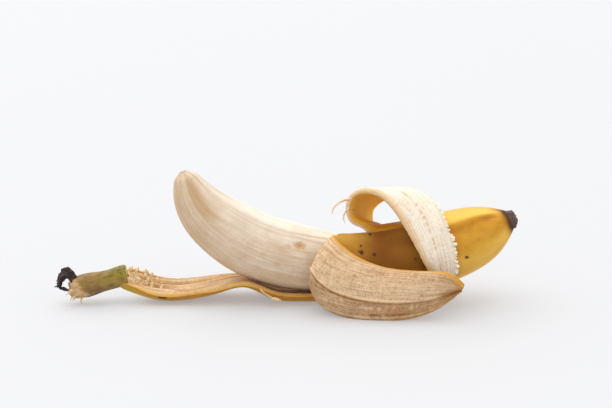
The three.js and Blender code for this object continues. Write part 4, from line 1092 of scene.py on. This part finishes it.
def build_fibres():
    """Loose threads of the skin and torn shreds at the neck."""
    f = Shell("loose_fibres")
    at = CURLED.point(np.array([96.0, 93.0, 88.0]), np.array([-0.96, -0.98, -0.97]))
    tube(f, [at[0] + [1.6, 0.2, 1.0], at[0] + [-1.5, -0.8, 0.6], at[0] + [-5.4, -1.4, -0.8], at[0] + [-8.0, -1.6, -3.4], at[0] + [-8.9, -1.4, -7.0]],
         [0.5, 0.42, 0.34, 0.28, 0.14], 8, 0.25, 601, 1.5)
    tube(f, [at[1] + [0.6, 0, -1.0], at[1] + [-1.6, -0.9, -3.0], at[1] + [-2.4, -1.1, -6.0], at[1] + [-1.6, -0.9, -8.8]],
         [0.34, 0.28, 0.22, 0.1], 8, 0.25, 602, 1.4)
    lo = LYING.point(np.array([129.0]), np.array([-0.97]))[0]
    tube(f, [lo + [0.5, 0, -0.6], lo + [2.6, -1.0, -2.4], lo + [5.4, -1.6, -4.2], lo + [8.0, -2.0, -5.4]], [0.5, 0.4, 0.34, 0.2], 8, 0.3, 603)
    tube(f, [lo + [6.8, -2.2, -5.2], lo + [9.2, -2.6, -5.6], lo + [11.6, -2.4, -6.4]], [0.5, 1.5, 0.5], 12, 0.45, 604, 0.6)
    rng = np.random.default_rng(21)
    # shreds at the neck, where the strip tore off the stem half of the fruit
    for i in range(70):
        back = i < 42
        s0 = rng.uniform(177, 198)
        w0 = rng.uniform(0.25, 1.0) if back else rng.uniform(-0.8, 0.3)
        p = LYING.point(np.array([s0]), np.array([w0]))[0]
        n = -LYING.normal(np.array([s0]), np.array([w0]))[0]
        p = p + n * (PEEL_T / 2 - 0.5)
        tall = rng.uniform(1.0, 3.0) * (0.5 + 0.5 * smooth(178, 188, s0)) if back else rng.uniform(0.3, 1.4)
        d = np.array([rng.uniform(-1.4, 1.8), rng.uniform(-1.0, 0.6), tall])
        size = rng.uniform(0.6, 1.3) if back else rng.uniform(0.4, 0.9)
        top = np.minimum(p + d, [999, 999, 16.6])
        tube(f, [p, (p + top) / 2 + n * rng.uniform(-0.3, 0.5), top], [size, size * 0.95, size * 0.35], 12, 0.65, 620 + i, rng.uniform(0.6, 1.2))
    # fibres that hang from the torn end of the stem
    for i in range(22):
        a = rng.uniform(0, 2 * math.pi)
        base = np.array([-105.6 - rng.uniform(0, 3.2), -3.3 + 4.2 * math.cos(a), 8.2 + 4.4 * math.sin(a)])
        d = np.array([-rng.uniform(0.5, 2.4), 0.5 * math.cos(a), 0.6 * math.sin(a) - rng.uniform(0.0, 1.4)])
        tube(f, [base, base + d * 0.6, base + d * 1.3 + [0, 0, -0.3]], [0.42, 0.32, 0.12], 7, 0.4, 660 + i)
    tube(f, [[-103.4, -4.6, 3.6], [-103.8, -5.2, 2.0], [-103.6, -5.4, 0.4]], [0.55, 0.4, 0.2], 7, 0.4, 690)
    return f.build([fibre_material("banana_fibre", (0.93, 0.72, 0.45), (0.72, 0.46, 0.22))])


def build_fringe():
    """Comb of short pale fibres along the far edge of the curled strip."""
    f = Shell("fringe")
    rng = np.random.default_rng(33)
    s = 137.0
    while s < 168:
        row = np.array([s])
        full = smooth(140, 154, s) * (1 - 0.6 * smooth(164, 168, s))
        clump = float(smooth(0.35, 0.62, noise(s * 0.24, 0, 0, 152)))
        n = CURLED.normal(row, np.array([0.80]))[0]
        lift = -n * (PEEL_T * 0.40)
        a = CURLED.point(row, np.array([rng.uniform(0.58, 0.72)]))[0] + lift
        b = CURLED.point(row + rng.uniform(-0.5, 0.5), np.array([0.87]))[0] + lift * 0.9
        reach = 0.15 + float(full) * (0.2 + 1.0 * clump) * rng.uniform(0.4, 1.2)
        tip = b + np.array([0.92, -0.30, rng.uniform(-0.55, 0.35)]) * (reach + 0.8)
        r = rng.uniform(0.34, 0.72)
        tube(f, [a, b, (b + tip) / 2 + lift * 0.12, tip], [r * 0.5, r * 0.9, r * 1.1, r * 1.0], 12, 0.6, 700 + int(s * 3), rng.uniform(0.9, 1.6))
        if rng.uniform() < 0.4:
            tube(f, [b, tip + np.array([rng.uniform(-0.3, 0.3), -0.3, rng.uniform(-0.8, 0.9)])], [r * 0.6, 0.2], 8, 0.4, 800 + int(s * 3))
        s += rng.uniform(0.75, 1.9)
    # loose flecks of fibre on the inside near that edge
    for i in range(40):
        s0, w0 = rng.uniform(118, 166), rng.uniform(0.15, 0.9)
        p0 = CURLED.point(np.array([s0]), np.array([w0]))[0]
        n = -CURLED.normal(np.array([s0]), np.array([w0]))[0]
        q0 = CURLED.point(np.array([s0 + rng.uniform(-1.2, 1.2)]), np.array([w0 + rng.uniform(0.06, 0.13)]))[0]
        r = rng.uniform(0.16, 0.30)
        k = PEEL_T / 2 + 0.08
        tube(f, [p0 + n * (k - 0.1), (p0 + q0) / 2 + n * (k + 0.12), q0 + n * (k - 0.1)], [r * 0.5, r, r * 0.4], 7, 0.3, 900 + i)
    return f.build([fibre_material("fringe_fibre", (0.97, 0.87, 0.74), (0.90, 0.72, 0.52))])


skin, *linings = build_skin()
pulp = build_pulp()
stem, scrap, blossom, fibres, fringe = build_stem(), build_scrap(), build_blossom(), build_fibres(), build_fringe()
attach(skin, "root")
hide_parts("peel")
for piece in [*linings, stem, scrap, blossom, fibres, fringe]:
    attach(piece, "root")
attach(pulp, "root")
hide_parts("flesh")

# ------------------------------------------------------------ floor and light
def build_floor():
    mesh = bpy.data.meshes.new("floor")
    k = 6.0
    mesh.from_pydata([(-k, -k, 0), (k, -k, 0), (k, k, 0), (-k, k, 0)], [], [(0, 1, 2, 3)])
    floor = bpy.data.objects.new("floor", mesh)
    bpy.context.scene.collection.objects.link(floor)
    m = Nodes("floor_white", 0.6)
    c = m.nt.nodes.new("ShaderNodeTexCoord")
    tint = m.noise(c.outputs["Object"], 3.0, 2)
    m.finish(m.mix(tint, (0.410, 0.411, 0.418), (0.417, 0.418, 0.425)), Specular_IOR_Level=0.15,
             Emission_Color=(0.97, 0.98, 1.0, 1), Emission_Strength=0.295)
    mesh.materials.append(m.mat)


def sun(name, toward, power, spread, color=(1, 1, 1)):
    light = bpy.data.lights.new(name, "SUN")
    light.energy, light.angle, light.color = power, rad(spread), color
    ob = bpy.data.objects.new(name, light)
    ob.rotation_euler = (-Vector(toward)).to_track_quat("-Z", "Y").to_euler()
    bpy.context.scene.collection.objects.link(ob)


build_floor()
sun("window_light", (-0.30, 0.42, 1.0), 1.75, 90, (1.0, 0.985, 0.965))
sun("ceiling_light", (0.15, -0.15, 1.0), 1.1, 130)
world = bpy.data.worlds.new("studio")
bpy.context.scene.world = world
world.use_nodes = True
world.node_tree.nodes["Background"].inputs[0].default_value = (0.965, 0.975, 1.0, 1)
world.node_tree.nodes["Background"].inputs[1].default_value = 0.67

camera = bpy.data.cameras.new("camera")
camera.sensor_width, camera.lens = 36.0, 85.0
camera.clip_start, camera.clip_end = 0.01, 20.0
view = bpy.data.objects.new("camera", camera)
target = (np.array([8.93, 4.81, 49.5]) + SHIFT) * MM
elevation = rad(14)
distance = 0.7225
view.location = Vector(target) + Vector((0, -math.cos(elevation), math.sin(elevation))) * distance
view.rotation_euler = (math.pi / 2 - elevation, 0, 0)
bpy.context.scene.collection.objects.link(view)
bpy.context.scene.camera = view
bpy.context.scene.view_settings.view_transform = "Standard"
